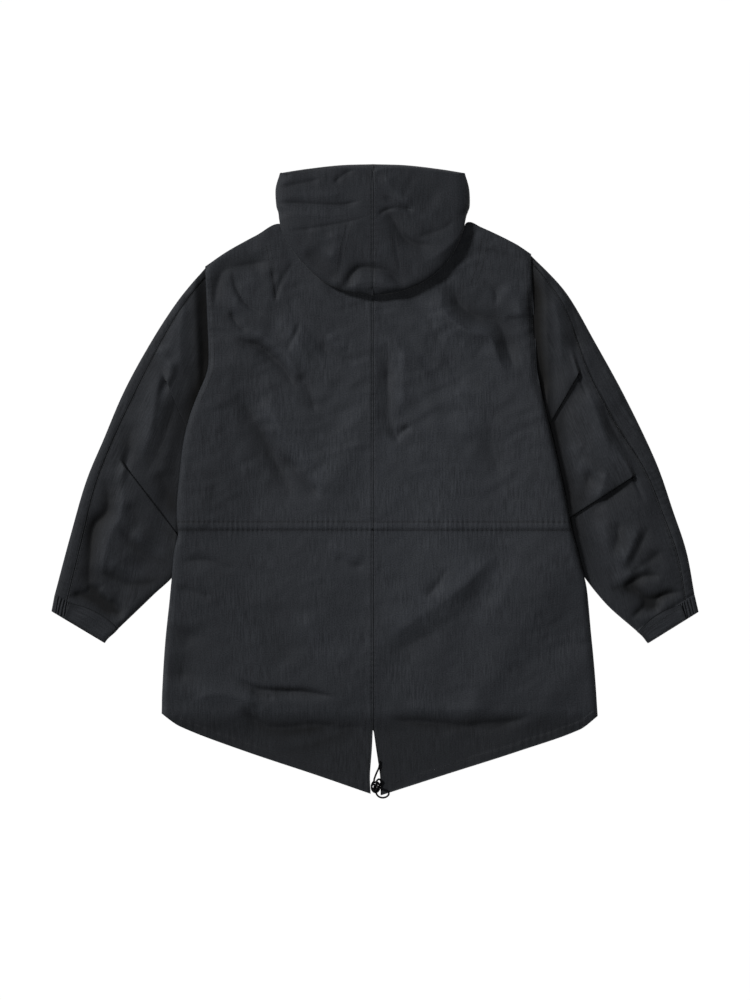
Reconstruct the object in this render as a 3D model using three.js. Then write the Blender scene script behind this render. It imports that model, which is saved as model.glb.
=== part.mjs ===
// A hooded parka laid flat, face down: the back is up, the sleeves lie beside the body with their inner
// edges under it, and the hood is folded down over the yoke.
// Millimetres. x runs to the right of the view from above, y towards the hood, z up from the surface.
import * as THREE from "three";

const CLOTH = 1.2; // wall of one layer
const SEAM_GAP = 0.3; // between pieces at a seam
const LAYER_GAP = 0.5; // between pieces that lie on each other
const SEAM_X = -3.2; // centre back seam, hood seam and front closing
const NECK_X = 150; // half the width of the neck, where the shoulder begins
const WAIST = { top: -67, bottom: -80, raise: 0.9 }; // the drawcord channel sewn into the back
const FRONT_HEM = -378;
const PLACKET = { width: 60, top: 355, bottom: -372, thickness: 1.6 };
// The body's rolled edge and the height of its side seam at each stretch.
const EDGE = { width: 12, armhole: 6.5, overSleeve: 11.8, free: 3.6, shoulder: 6.4, hem: 1.8 };
const SLEEVE = { edgeHeight: 9, headHeight: 5.2, edgeWidth: 13, crown: 4.5, under: 6.2, underWidth: 42 };
const SLEEVE_ROWS = { head: [0, 0.05, 0.13, 0.25, 0.45, 0.64, 0.82, 1], middle: 7, forearm: 9 };
// A sleeve tuck turns under, runs back and turns again. It lies flat at both of its ends.
const TUCK = {
  outsideTurn: 2.2,
  insideTurn: 1.0,
  turnSteps: 3,
  run: 13,
  fade: 48,
  flatReach: 7,
  flatEnd: 3,
  fullEnd: 25,
  pressed: 0.55,
};
const LAST_RUNG = 7; // of the eight that a sleeve is drawn on
const SLEEVE_LOWEST = 2 * CLOTH + LAYER_GAP; // of the inner panel, over the layer on the surface
const CUFF = { height: 8.8, wall: 2.0, gathers: 5, gatherPitch: 5.2, gatherDepth: 0.9 };
const TAB = { thickness: 1.6, plainFrom: 27 };
const HOOD = { edgeWidth: 22, underWidth: 12 };
const CORD = { radius: 1.0, sides: 8 };

const COLOURS = { shell: 0x33363a, hood: 0x2c2e33, cord: 0x0d0e10 };

// Left and right are those of the view from above. Each row is a point where the outline turns.
const SHAPES = {
  left: {
    side: -1,
    armhole: { y: 342, x: -270 },
    hemCorner: -374,
    tip: -503,
    top: [
      { x: -3.2, y: 360 },
      { x: -64, y: 366 },
      { x: -112, y: 374 },
      { x: -140, y: 389 },
      { x: -153, y: 410.5 },
      { x: -190, y: 392 },
      { x: -237, y: 366 },
      { x: -272, y: 342 },
    ],
    backSide: [
      { y: 342, x: -272 },
      { y: 256, x: -268.5 },
      { y: 200, x: -266.5 },
      { y: 173, x: -269 },
      { y: 131, x: -286 },
      { y: 104, x: -296 },
      { y: 64, x: -306 },
      { y: 16, x: -312 },
      { y: -40, x: -317 },
      { y: -67, x: -317 },
      { y: -85, x: -315 },
      { y: -112, x: -321 },
      { y: -163, x: -326 },
      { y: -256, x: -336 },
      { y: -336, x: -341 },
      { y: -374, x: -342 },
    ],
    frontSide: [
      { y: 342, x: -269.4 },
      { y: 200, x: -263.2 },
      { y: 150, x: -261 },
      { y: 115, x: -255 },
      { y: 85, x: -257 },
      { y: 60, x: -276 },
      { y: 40, x: -298 },
      { y: 16, x: -309 },
      { y: -40, x: -316 },
      { y: -85, x: -314.5 },
      { y: -112, x: -320.5 },
      { y: -163, x: -325.5 },
      { y: -256, x: -335.5 },
      { y: -374, x: -341.5 },
    ],
    vent: [
      { y: -397, x: -3.4 },
      { y: -432, x: -5 },
      { y: -474, x: -8 },
      { y: -503, x: -7 },
    ],
    hem: [
      { x: -7, y: -503 },
      { x: -88, y: -475 },
      { x: -216, y: -432 },
      { x: -312, y: -395 },
      { x: -342, y: -374 },
    ],
    // Each rung of the sleeve runs from its outer fold to its inner fold.
    rungs: [
      { outerX: -270, outerY: 342, innerX: -259, innerY: 90, seam: 13 },
      { outerX: -315, outerY: 288, innerX: -269, innerY: 72, seam: 14 },
      { outerX: -360, outerY: 219, innerX: -285, innerY: 43, seam: 17 },
      { outerX: -402, outerY: 142, innerX: -291, innerY: -16, seam: 18 },
      { outerX: -434, outerY: 67, innerX: -306, innerY: -101, seam: 15 },
      { outerX: -463, outerY: -3, innerX: -318, innerY: -147, seam: 17 },
      { outerX: -489, outerY: -93, innerX: -357, innerY: -186, seam: 20 },
      { outerX: -513, outerY: -183, innerX: -410, innerY: -237, seam: 21 },
    ],
    // A tuck lies along one rung. The flap is the part above it (1) or below it (-1).
    tucks: [
      { rung: 2, notch: 44, corner: 40, flap: 1 },
      { rung: 4, notch: 36, corner: 34, flap: -1 },
    ],
    cuffEnd: { outerX: -518.4, outerY: -210, innerX: -433, innerY: -261 },
  },
  right: {
    side: 1,
    armhole: { y: 362, x: 248 },
    hemCorner: -378,
    tip: -505.6,
    top: [
      { x: -3.2, y: 360 },
      { x: 58, y: 366 },
      { x: 106, y: 374 },
      { x: 134, y: 389 },
      { x: 147, y: 412.5 },
      { x: 170, y: 405 },
      { x: 224, y: 379 },
      { x: 250, y: 362 },
    ],
    backSide: [
      { y: 362, x: 250 },
      { y: 272, x: 254.5 },
      { y: 200, x: 258.5 },
      { y: 173, x: 260 },
      { y: 144, x: 266 },
      { y: 96, x: 277 },
      { y: 64, x: 285 },
      { y: 16, x: 296 },
      { y: -32, x: 306 },
      { y: -64, x: 312 },
      { y: -85, x: 317 },
      { y: -128, x: 328 },
      { y: -173, x: 339 },
      { y: -240, x: 346 },
      { y: -304, x: 352 },
      { y: -378, x: 357 },
    ],
    frontSide: [
      { y: 362, x: 247.4 },
      { y: 200, x: 255.5 },
      { y: 150, x: 258 },
      { y: 115, x: 252 },
      { y: 85, x: 254 },
      { y: 60, x: 270 },
      { y: 40, x: 284 },
      { y: 16, x: 293 },
      { y: -32, x: 305 },
      { y: -85, x: 316.5 },
      { y: -128, x: 327.5 },
      { y: -173, x: 338.5 },
      { y: -240, x: 345.5 },
      { y: -378, x: 356.5 },
    ],
    vent: [
      { y: -397, x: -3 },
      { y: -432, x: 2 },
      { y: -474, x: 8 },
      { y: -505.6, x: 9 },
    ],
    hem: [
      { x: 9, y: -505.6 },
      { x: 104, y: -475 },
      { x: 232, y: -434 },
      { x: 328, y: -400 },
      { x: 357, y: -378 },
    ],
    rungs: [
      { outerX: 248, outerY: 362, innerX: 262, innerY: 90, seam: 9 },
      { outerX: 306, outerY: 300, innerX: 263, innerY: 82, seam: 20 },
      { outerX: 354, outerY: 218, innerX: 267, innerY: 67, seam: 36 },
      { outerX: 403, outerY: 128, innerX: 283, innerY: -3, seam: 36 },
      { outerX: 450, outerY: 29, innerX: 299, innerY: -69, seam: 22 },
      { outerX: 477, outerY: -48, innerX: 318, innerY: -128, seam: 17 },
      { outerX: 499, outerY: -115, innerX: 366, innerY: -194, seam: 16 },
      { outerX: 512, outerY: -184, innerX: 419, innerY: -242, seam: 17 },
    ],
    tucks: [
      { rung: 2, notch: 47, corner: 16, flap: 1 },
      { rung: 4, notch: 37, corner: 12, flap: 1 },
    ],
    cuffEnd: { outerX: 518.4, outerY: -211, innerX: 438, innerY: -261 },
  },
};

// Height of the back's outer face down the middle of the body.
const BACK_HEIGHT = [
  { y: 420, z: 9 },
  { y: 340, z: 11.5 },
  { y: 200, z: 13 },
  { y: 0, z: 13 },
  { y: -250, z: 10.5 },
  { y: -368, z: 8.5 },
  { y: -404, z: 2.6 },
  { y: -440, z: 1.2 },
  { y: -506, z: 1.2 },
];

// The largest folds of the cloth, each along its own path. Troughs have a negative height.
const FOLDS = [
  { name: "left shoulder hollow", width: 14, height: -3, path: [[-192, 348], [-244, 330], [-252, 250]] },
  { name: "left yoke crease", width: 13, height: -4, path: [[-216, 224], [-144, 184], [-106, 112]] },
  { name: "left back trough", width: 20, height: -4, path: [[-206, 110], [-178, 54], [-145, -5]] },
  { name: "left back ridge", width: 18, height: 3, path: [[-166, 66], [-100, 18], [-62, -6]] },
  { name: "left lower trough", width: 14, height: -3, path: [[-146, 38], [-118, 0], [-94, -42]] },
  { name: "right yoke crest", width: 18, height: 6, path: [[84, 312], [118, 262], [192, 246], [218, 178]] },
  { name: "right yoke valley", width: 12, height: -3, path: [[112, 318], [150, 268], [232, 196]] },
  { name: "centre trough", width: 15, height: -4, path: [[24, 226], [20, 150], [38, 56]] },
  { name: "right skirt ridge", width: 18, height: 4, path: [[176, -118], [112, -194], [18, -258]] },
  { name: "right skirt trough", width: 15, height: -3, path: [[172, -150], [128, -214], [30, -284]] },
  { name: "left skirt trough", width: 12, height: -3, path: [[-226, -316], [-142, -338], [-60, -350]] },
  { name: "left hem wave", width: 13, height: 3, path: [[-176, -398], [-110, -412], [-30, -392]] },
  { name: "left armhole valley", width: 15, height: -4, path: [[-288, 300], [-290, 200], [-300, 120]] },
  { name: "right armhole valley", width: 15, height: -5, path: [[268, 330], [276, 220], [290, 120]] },
  { name: "left arm ridge", width: 18, height: 5, path: [[-352, 165], [-372, 90], [-386, 30]] },
  { name: "left arm hollow", width: 22, height: -4, path: [[-336, 150], [-344, 80], [-346, 10]] },
  { name: "left forearm trough", width: 13, height: -8, path: [[-440, -12], [-452, -80], [-458, -160]] },
  { name: "left forearm ridge", width: 16, height: 4, path: [[-426, -60], [-414, -140], [-362, -166]] },
  { name: "right arm crest", width: 22, height: 4, path: [[340, 110], [374, 60], [404, 24]] },
  { name: "right arm edge", width: 12, height: -4, path: [[352, 140], [384, 82], [424, 16]] },
  { name: "right forearm ridge", width: 14, height: 5, path: [[330, -170], [398, -176], [446, -150]] },
  { name: "right forearm trough", width: 14, height: -5, path: [[352, -90], [400, -140], [440, -196]] },
];

const HOOD_HEIGHT = [
  { y: 506, z: 19 },
  { y: 470, z: 25 },
  { y: 400, z: 31 },
  { y: 350, z: 33 },
  { y: 294, z: 30 },
];

// Rungs of the left hood half, from its centre seam to its folded edge and back underneath. The right
// half mirrors them, with its edge `wider` further out. edgeZ is the height of the fold itself.
const HOOD_RUNGS = [
  { spineY: 492, edgeX: 0, edgeY: 505.6, endX: 0, endY: 476, edgeZ: 9, on: "floor", wider: 0 },
  { spineY: 486, edgeX: 52, edgeY: 504, endX: 30, endY: 471, edgeZ: 9, on: "floor", wider: 0 },
  { spineY: 479, edgeX: 106, edgeY: 498, endX: 46, endY: 460, edgeZ: 9, on: "floor", wider: -1 },
  { spineY: 472, edgeX: 144, edgeY: 492.1, endX: 53, endY: 448, edgeZ: 9, on: "floor", wider: -2 },
  { spineY: 471, edgeX: 149, edgeY: 491, endX: 54, endY: 446, edgeZ: 9, on: "floor", wider: -2 },
  { spineY: 469.5, edgeX: 150, edgeY: 488, endX: 54.3, endY: 443.5, edgeZ: 9, on: "floor", wider: -2 },
  { spineY: 460, edgeX: 156, edgeY: 466, endX: 56, endY: 428, edgeZ: 9, on: "floor", wider: -2 },
  { spineY: 448, edgeX: 155, edgeY: 440, endX: 46, endY: 404, edgeZ: 9.5, on: "floor", wider: 0 },
  { spineY: 436, edgeX: 152, edgeY: 429, endX: 10, endY: 374, edgeZ: 10.5, on: "floor", wider: 0 },
  { spineY: 425, edgeX: 151, edgeY: 424, endX: 62, endY: 377, edgeZ: 12, on: "floor", wider: -1 },
  { spineY: 413, edgeX: 150, edgeY: 416, endX: 136, endY: 399, edgeZ: 19, on: "yoke", wider: -2 },
  { spineY: 396, edgeX: 146, edgeY: 398, endX: 122, endY: 383, edgeZ: 21, on: "yoke", wider: -2 },
  { spineY: 375, edgeX: 133, edgeY: 373, endX: 98, endY: 370, edgeZ: 22, on: "yoke", wider: 1 },
  { spineY: 352, edgeX: 110, edgeY: 344, endX: 74, endY: 362, edgeZ: 22, on: "yoke", wider: 5 },
  { spineY: 331, edgeX: 80, edgeY: 317, endX: 44, endY: 356, edgeZ: 22, on: "yoke", wider: 3 },
  { spineY: 316, edgeX: 42, edgeY: 301, endX: 20, endY: 352, edgeZ: 22, on: "yoke", wider: 2 },
  { spineY: 307, edgeX: 0, edgeY: 294.4, endX: 0, endY: 350, edgeZ: 22, on: "yoke", wider: 0 },
];

// The drawcord at the point of the hem: a strand from the slit to the knot, and a hanging loop.
const STRAND_ROUTE = [
  [7.6, -450, 2.5],
  [7.4, -454, 2.5],
  [6.8, -459, 2.5],
  [5.0, -464, 3.0],
  [2.6, -469, 3.6],
  [0.6, -474, 3.9],
  [-1.0, -478.6, 4.2],
  [-1.8, -482.9, 4.4],
];
const LOOP_ROUTE = [
  [1.4, -498.5, 3.2],
  [2.2, -502.4, 2.8],
  [5.2, -506.6, 2.2],
  [9.6, -508.8, 1.6],
  [14.2, -509.0, 1.5],
  [18.6, -507.4, 2.0],
  [21.8, -504.2, 2.6],
  [22.0, -500.4, 2.9],
  [18.6, -497.4, 2.9],
  [14.2, -495.6, 2.9],
  [8.7, -493.2, 3.6],
];
const KNOT = { x: 2.4, y: -490.2, z: 4.0, length: 16, width: 13, height: 7.4 };

function smooth(from, to, value) {
  const t = Math.min(Math.max((value - from) / (to - from), 0), 1);
  return t * t * (3 - 2 * t);
}

function mix(a, b, t) {
  return a + (b - a) * t;
}

// A smooth curve through the rows of a table, read from one column to another.
function through(rows, key, value) {
  const sorted = [...rows].sort((a, b) => a[key] - b[key]);
  const last = sorted.length - 1;
  const slopes = sorted.map((row, i) => {
    const before = sorted[Math.max(i - 1, 0)];
    const after = sorted[Math.min(i + 1, last)];
    return (after[value] - before[value]) / (after[key] - before[key]);
  });
  return (at) => {
    const place = Math.min(Math.max(at, sorted[0][key]), sorted[last][key]);
    let i = 0;
    while (i < last - 1 && place > sorted[i + 1][key]) i += 1;
    const span = sorted[i + 1][key] - sorted[i][key];
    const t = (place - sorted[i][key]) / span;
    const ease = t * t * (3 - 2 * t);
    const bend = span * (slopes[i] * t * (1 - t) ** 2 - slopes[i + 1] * t * t * (1 - t));
    return mix(sorted[i][value], sorted[i + 1][value], ease) + bend;
  };
}

// A smooth curve through evenly numbered rows, read by row number.
function byRow(rows, value) {
  return through(
    rows.map((row, i) => ({ i, [value]: row[value] })),
    "i",
    value,
  );
}

function spread(from, to, count) {
  return Array.from({ length: count }, (_, i) => mix(from, to, i / (count - 1)));
}

// Height that the folds add at a point.
function foldHeight(x, y) {
  let height = 0;
  for (const fold of FOLDS) {
    let nearest = Infinity;
    let along = 0;
    let walked = 0;
    for (let i = 1; i < fold.path.length; i += 1) {
      const [ax, ay] = fold.path[i - 1];
      const [bx, by] = fold.path[i];
      const length = Math.hypot(bx - ax, by - ay);
      const t = Math.min(Math.max(((x - ax) * (bx - ax) + (y - ay) * (by - ay)) / length ** 2, 0), 1);
      const distance = Math.hypot(x - mix(ax, bx, t), y - mix(ay, by, t));
      if (distance < nearest) {
        nearest = distance;
        along = walked + t * length;
      }
      walked += length;
    }
    const taper = smooth(0, 0.3, along / walked) * smooth(1, 0.7, along / walked);
    height += fold.height * taper * Math.exp(-((nearest / fold.width) ** 2));
  }
  return height;
}

function slopeAt(points, i, j, alongRows) {
  const rows = points.length - 1;
  const columns = points[0].length - 1;
  const before = alongRows ? points[Math.max(i - 1, 0)][j] : points[i][Math.max(j - 1, 0)];
  const after = alongRows ? points[Math.min(i + 1, rows)][j] : points[i][Math.min(j + 1, columns)];
  return after.clone().sub(before);
}

// The outward normal at each point of a sheet whose first column faces up (1) or down (-1).
function sheetNormals(points, facing) {
  const normals = points.map((row, i) =>
    row.map((_, j) => slopeAt(points, i, j, true).cross(slopeAt(points, i, j, false)).normalize()),
  );
  const upward = normals.reduce((sum, row) => sum + row[0].z, 0);
  const turn = Math.sign(upward) * facing;
  normals.forEach((row) => row.forEach((normal) => normal.multiplyScalar(turn)));
  return normals;
}

function closedGeometry(vertices, triangles) {
  const volume = triangles.reduce((sum, [a, b, c]) => {
    const cross = vertices[b].clone().cross(vertices[c]);
    return sum + vertices[a].dot(cross);
  }, 0);
  const ordered = volume > 0 ? triangles : triangles.map(([a, b, c]) => [a, c, b]);
  const geometry = new THREE.BufferGeometry();
  const positions = vertices.flatMap((v) => v.toArray());
  geometry.setAttribute("position", new THREE.Float32BufferAttribute(positions, 3));
  geometry.setIndex(ordered.flat());
  geometry.computeVertexNormals();
  return geometry;
}

function gridTriangles(index, rows, columns) {
  const triangles = [];
  for (let i = 0; i < rows; i += 1) {
    for (let j = 0; j < columns; j += 1) {
      triangles.push([index(i, j), index(i + 1, j), index(i + 1, j + 1)]);
      triangles.push([index(i, j), index(i + 1, j + 1), index(i, j + 1)]);
    }
  }
  return triangles;
}

// A closed wall of cloth. `points` are rows on its outer face, whose first column is a seam with an
// upright edge. `keep` holds its inner points back.
function wall(points, thickness, facing = 1, keep = (point) => point) {
  const rows = points.length;
  const columns = points[0].length;
  const normals = sheetNormals(points, facing);
  normals.forEach((row) => row[0].set(0, 0, facing));
  const inner = points.map((row, i) =>
    row.map((point, j) => keep(point.clone().addScaledVector(normals[i][j], -thickness))),
  );
  const outerIndex = (i, j) => i * columns + j;
  const innerIndex = (i, j) => rows * columns + i * columns + j;
  const triangles = gridTriangles(outerIndex, rows - 1, columns - 1);
  triangles.push(...gridTriangles(innerIndex, rows - 1, columns - 1).map(([a, b, c]) => [a, c, b]));
  const rim = [];
  for (let j = 0; j < columns - 1; j += 1) rim.push([0, j]);
  for (let i = 0; i < rows - 1; i += 1) rim.push([i, columns - 1]);
  for (let j = columns - 1; j > 0; j -= 1) rim.push([rows - 1, j]);
  for (let i = rows - 1; i > 0; i -= 1) rim.push([i, 0]);
  rim.forEach(([i, j], k) => {
    const [ni, nj] = rim[(k + 1) % rim.length];
    triangles.push([outerIndex(i, j), outerIndex(ni, nj), innerIndex(ni, nj)]);
    triangles.push([outerIndex(i, j), innerIndex(ni, nj), innerIndex(i, j)]);
  });
  return closedGeometry([...points.flat(), ...inner.flat()], triangles);
}

// A closed tube whose rings go round a hollow. Both lists of rings have the same number of points.
function hollowTube(outerRings, innerRings) {
  const rows = outerRings.length;
  const columns = outerRings[0].length;
  const outerIndex = (i, j) => i * columns + (j % columns);
  const innerIndex = (i, j) => rows * columns + i * columns + (j % columns);
  const triangles = gridTriangles(outerIndex, rows - 1, columns);
  triangles.push(...gridTriangles(innerIndex, rows - 1, columns).map(([a, b, c]) => [a, c, b]));
  for (let j = 0; j < columns; j += 1) {
    triangles.push([outerIndex(0, j), outerIndex(0, j + 1), innerIndex(0, j + 1)]);
    triangles.push([outerIndex(0, j), innerIndex(0, j + 1), innerIndex(0, j)]);
    triangles.push([outerIndex(rows - 1, j + 1), outerIndex(rows - 1, j), innerIndex(rows - 1, j)]);
    triangles.push([outerIndex(rows - 1, j + 1), innerIndex(rows - 1, j), innerIndex(rows - 1, j + 1)]);
  }
  return closedGeometry([...outerRings.flat(), ...innerRings.flat()], triangles);
}

// How far a rolled edge has risen, 0 at the edge and 1 once the cloth lies flat.
function rolled(distance, width, otherDistance = width) {
  const near = 1 - Math.min(distance / width, 1);
  const other = 1 - Math.min(otherDistance / width, 1);
  return Math.sqrt(Math.max(0, 1 - near ** 2 - other ** 2));
}

const backMiddle = through(BACK_HEIGHT, "y", "z");

// Height of the back's outer face, away from its rolled edges.
function backHeight(x, y) {
  const overSleeve = smooth(180, 285, Math.abs(x)) * smooth(-250, -140, y) * smooth(230, 120, y);
  const channel = smooth(WAIST.bottom - 4, WAIST.bottom, y) * smooth(WAIST.top + 4, WAIST.top, y);
  const height = backMiddle(y) + 6.5 * overSleeve + WAIST.raise * channel + foldHeight(x, y);
  return Math.max(height, CLOTH);
}

// Height of the body's side seam above the surface.
function sideSeamHeight(y) {
  const armhole = mix(EDGE.overSleeve, EDGE.armhole, smooth(150, 210, y));
  const skirt = mix(EDGE.free, armhole, smooth(-205, -165, y));
  return mix(EDGE.hem, skirt, smooth(-374, -340, y));
}

// Where a panel's rows start on the centre seam and end on the side edge.
function panelLevels(shape, topSteps, upperRows, lowerRows) {
  const shoulder = topSteps.at(-1);
  const aboveWaist = WAIST.top + 6;
  const top = topSteps.map((d) => ({ centre: shape.top[0].y - d, side: shape.armhole.y - d }));
  const upper = spread(0, 1, upperRows + 1)
    .slice(1)
    .map((t) => ({
      centre: mix(shape.top[0].y - shoulder, aboveWaist, t),
      side: mix(shape.armhole.y - shoulder, aboveWaist, t),
    }));
  const lower = lowerRows.map(([centre, side]) => ({ centre, side }));
  return [...top, ...upper, ...lower];
}

// One panel of the body, from the centre seam out to its side edge.
function bodyPoints(shape, panel) {
  const sideAt = through(panel.sideTable, "y", "x");
  const topAt = through(shape.top, "x", "y");
  const cornerX = shape.top.at(-1).x;
  const firstEdge = panel.edgeSteps[0];
  return panel.levels.map((level) => {
    const centreX = panel.centreAt(level.centre);
    const sideX = sideAt(level.side);
    const width = Math.abs(sideX - centreX);
    const middle = spread(panel.centreSteps.at(-1), width - 1.5 * firstEdge, panel.middle + 1).slice(1);
    const stations = [...panel.centreSteps, ...middle, ...panel.edgeSteps.map((d) => width - d)];
    return stations.map((distance) => {
      const u = distance / width;
      const x = mix(centreX, sideX, u);
      const topBow = topAt(mix(SEAM_X, cornerX, u)) - mix(shape.top[0].y, shape.armhole.y, u) - panel.inset;
      const topShare = smooth(WAIST.top, shape.top[0].y, level.centre);
      const y = mix(level.centre, level.side, u) + topShare * topBow + panel.hemAt(x, u, level);
      const fromTop = Math.abs(x) > NECK_X - 8 ? Math.max(topAt(x) - y, 0) : Infinity;
      return new THREE.Vector3(x, y, panel.heightAt(x, y, width - distance, fromTop));
    });
  });
}

function keepSide(shape, gap = SEAM_GAP / 2) {
  return (point) => {
    const limit = SEAM_X + shape.side * gap;
    point.x = shape.side < 0 ? Math.min(point.x, limit) : Math.max(point.x, limit);
    point.z = Math.max(point.z, 0);
    return point;
  };
}

function backPanel(shape) {
  const lowerRows = [
    [WAIST.top, WAIST.top],
    [(WAIST.top + WAIST.bottom) / 2, (WAIST.top + WAIST.bottom) / 2],
    [WAIST.bottom, WAIST.bottom],
    [WAIST.bottom - 6, WAIST.bottom - 6],
    [-150, -125],
    [-210, -175],
    [-270, -225],
    [-325, -270],
    [-362, -298],
    [-380, -312],
    [-396, -324],
    [-412, -336],
    [-440, -350],
    [-472, -363],
    [shape.tip, shape.hemCorner],
  ];
  const ventAt = through(shape.vent, "y", "x");
  const hemCurve = through(shape.hem, "x", "y");
  const centreAt = (y) => (y > -397 ? SEAM_X + shape.side * (SEAM_GAP / 2) : ventAt(y));
  const hemAt = (x, u, level) => {
    const straight = mix(shape.tip, shape.hemCorner, u);
    return (hemCurve(x) - straight) * smooth(-150, shape.tip, level.centre);
  };
  const heightAt = (x, y, fromSide, fromTop) => {
    const low = fromTop < fromSide ? EDGE.shoulder : sideSeamHeight(y);
    const rise = rolled(fromSide, EDGE.width, fromTop);
    return Math.max(mix(Math.min(low, backHeight(x, y)), backHeight(x, y), rise), CLOTH);
  };
  const points = bodyPoints(shape, {
    sideTable: shape.backSide,
    levels: panelLevels(shape, [0, 1, 3.5, 8, 15, 24], 11, lowerRows),
    centreSteps: [0],
    middle: 9,
    edgeSteps: [24, 15, 8, 3.5, 1, 0],
    inset: 0,
    centreAt,
    hemAt,
    heightAt,
  });
  return wall(points, CLOTH, 1, keepSide(shape));
}

// How far the front is lifted over the sleeve's inner edge, which runs under it.
function frontLift(shape) {
  const innerLine = through(shape.rungs, "innerY", "innerX");
  return (x, y) => {
    const edge = Math.abs(innerLine(y));
    return 9.9 * smooth(edge - 34, edge - 2, Math.abs(x)) * smooth(150, 96, y) * smooth(-200, -184, y);
  };
}

function frontPanel(shape) {
  const lowerRows = [
    [WAIST.bottom, WAIST.bottom],
    [-135, -125],
    [-185, -175],
    [-225, -195],
    [-270, -240],
    [-325, -310],
    [-360, -350],
    [FRONT_HEM, shape.hemCorner + 3],
  ];
  const liftAt = frontLift(shape);
  const heightAt = (x, y, fromSide, fromTop) => {
    const overPlacket = (PLACKET.thickness + SEAM_GAP) * smooth(46, 34, Math.abs(x - SEAM_X));
    const low = Math.max(liftAt(x, y), overPlacket);
    const side = mix(sideSeamHeight(y), 0, smooth(110, 150, y));
    const seam = (fromTop < fromSide ? EDGE.shoulder : side) - CLOTH - 2 * LAYER_GAP;
    const rise = rolled(fromSide, EDGE.width / 2, fromTop);
    return mix(Math.max(seam, low), low, rise);
  };
  const placketEdge = PLACKET.width / 2;
  const points = bodyPoints(shape, {
    sideTable: shape.frontSide,
    levels: panelLevels(shape, [0, 2, 8, 24], 10, lowerRows),
    centreSteps: [0, placketEdge + 3, placketEdge + 15],
    middle: 7,
    edgeSteps: [24, 6, 2, 0],
    inset: 0.6,
    centreAt: () => SEAM_X + shape.side * (SEAM_GAP / 2),
    hemAt: () => 0,
    heightAt,
  });
  return wall(points, CLOTH, -1, keepSide(shape));
}

function placket() {
  const { width, top, bottom, thickness } = PLACKET;
  const shape = new THREE.Shape();
  shape.moveTo(SEAM_X - width / 2, bottom);
  shape.lineTo(SEAM_X + width / 2, bottom);
  shape.lineTo(SEAM_X + width / 2, top);
  shape.lineTo(SEAM_X - width / 2, top);
  return new THREE.ExtrudeGeometry(shape, { depth: thickness, bevelEnabled: false });
}

// The sleeve's rungs as smooth curves, with the place and direction at a distance from the outer fold.
function sleeveFrame(shape) {
  const read = {};
  for (const column of ["outerX", "outerY", "innerX", "innerY", "seam"]) {
    read[column] = byRow(shape.rungs, column);
  }
  const width = (v) => Math.hypot(read.innerX(v) - read.outerX(v), read.innerY(v) - read.outerY(v));
  const place = (s, v) => {
    const t = s / width(v);
    return new THREE.Vector2(mix(read.outerX(v), read.innerX(v), t), mix(read.outerY(v), read.innerY(v), t));
  };
  return { width, place, seam: read.seam };
}

// Height of the sleeve's upper face, before its tucks.
function sleeveHeight(frame, s, v) {
  const width = frame.width(v);
  const here = frame.place(s, v);
  const fromArmhole = here.distanceTo(frame.place((s / width) * frame.width(0), 0));
  const across = Math.min(s / (width - SLEEVE.underWidth), 1);
  const bulge = SLEEVE.crown * Math.sin(Math.PI * across) * smooth(LAST_RUNG, LAST_RUNG - 1, v);
  const open = SLEEVE.edgeHeight + bulge + foldHeight(here.x, here.y) * smooth(LAST_RUNG, LAST_RUNG - 0.5, v);
  const aboveCuff = smooth(LAST_RUNG - 0.4, LAST_RUNG - 1.6, v);
  const tucked = mix(open, SLEEVE.under, smooth(width - 80, width - SLEEVE.underWidth, s) * aboveCuff);
  const armhole = mix(SLEEVE.headHeight, tucked, smooth(3, 34, fromArmhole));
  return mix(SLEEVE_LOWEST, Math.max(armhole, SLEEVE_LOWEST), rolled(width - s, SLEEVE.edgeWidth));
}

// The sleeve's lengths between its tucks, with the shares of each at which its rows lie.
function sleeveStretches(shape) {
  const stops = [0, ...shape.tucks.map((tuck) => tuck.rung), LAST_RUNG];
  const shares = [SLEEVE_ROWS.head, spread(0, 1, SLEEVE_ROWS.middle), spread(0, 1, SLEEVE_ROWS.forearm)];
  return shares.map((list, k) => ({ from: stops[k], to: stops[k + 1], shares: list }));
}

// The points of a tuck, seen from the side: a turn, a straight run back and a turn the other way.
function tuckProfile(turn, run) {
  const { outsideTurn, insideTurn, turnSteps } = TUCK;
  const points = spread(0, turn, turnSteps + 1).map((a) => ({
    along: outsideTurn * Math.sin(a),
    down: outsideTurn * (1 - Math.cos(a)),
  }));
  const start = points.at(-1);
  const end = { along: start.along + run * Math.cos(turn), down: start.down + run * Math.sin(turn) };
  points.push({ along: mix(start.along, end.along, 0.5), down: mix(start.down, end.down, 0.5) });
  spread(turn, 0, turnSteps + 1).forEach((a) =>
    points.push({
      along: end.along + insideTurn * (Math.sin(turn) - Math.sin(a)),
      down: end.down + insideTurn * (Math.cos(a) - Math.cos(turn)),
    }),
  );
  return points;
}

// The tuck's profile at a distance from the outer fold. It opens out again at the hidden inner fold.
function tuckAt(tuck, s, width) {
  const opened = smooth(width - TUCK.flatEnd, width - TUCK.fullEnd, s);
  const depth = smooth(tuck.notch, tuck.notch + tuck.corner, s) * opened;
  const profile = tuckProfile(Math.PI * depth, TUCK.run * depth);
  const lead = TUCK.outsideTurn * Math.sin(Math.min(Math.PI * depth, Math.PI / 2));
  const drop = profile.at(-1).down;
  const flat = spread(-TUCK.flatReach, TUCK.flatReach, profile.length);
  const points = profile.map((p, i) => ({
    along: mix(flat[i], p.along - lead, depth),
    rise: drop / 2 - p.down,
  }));
  if (tuck.flap > 0) return points;
  return points.reverse().map((p) => ({ along: -p.along, rise: p.rise }));
}

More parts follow.
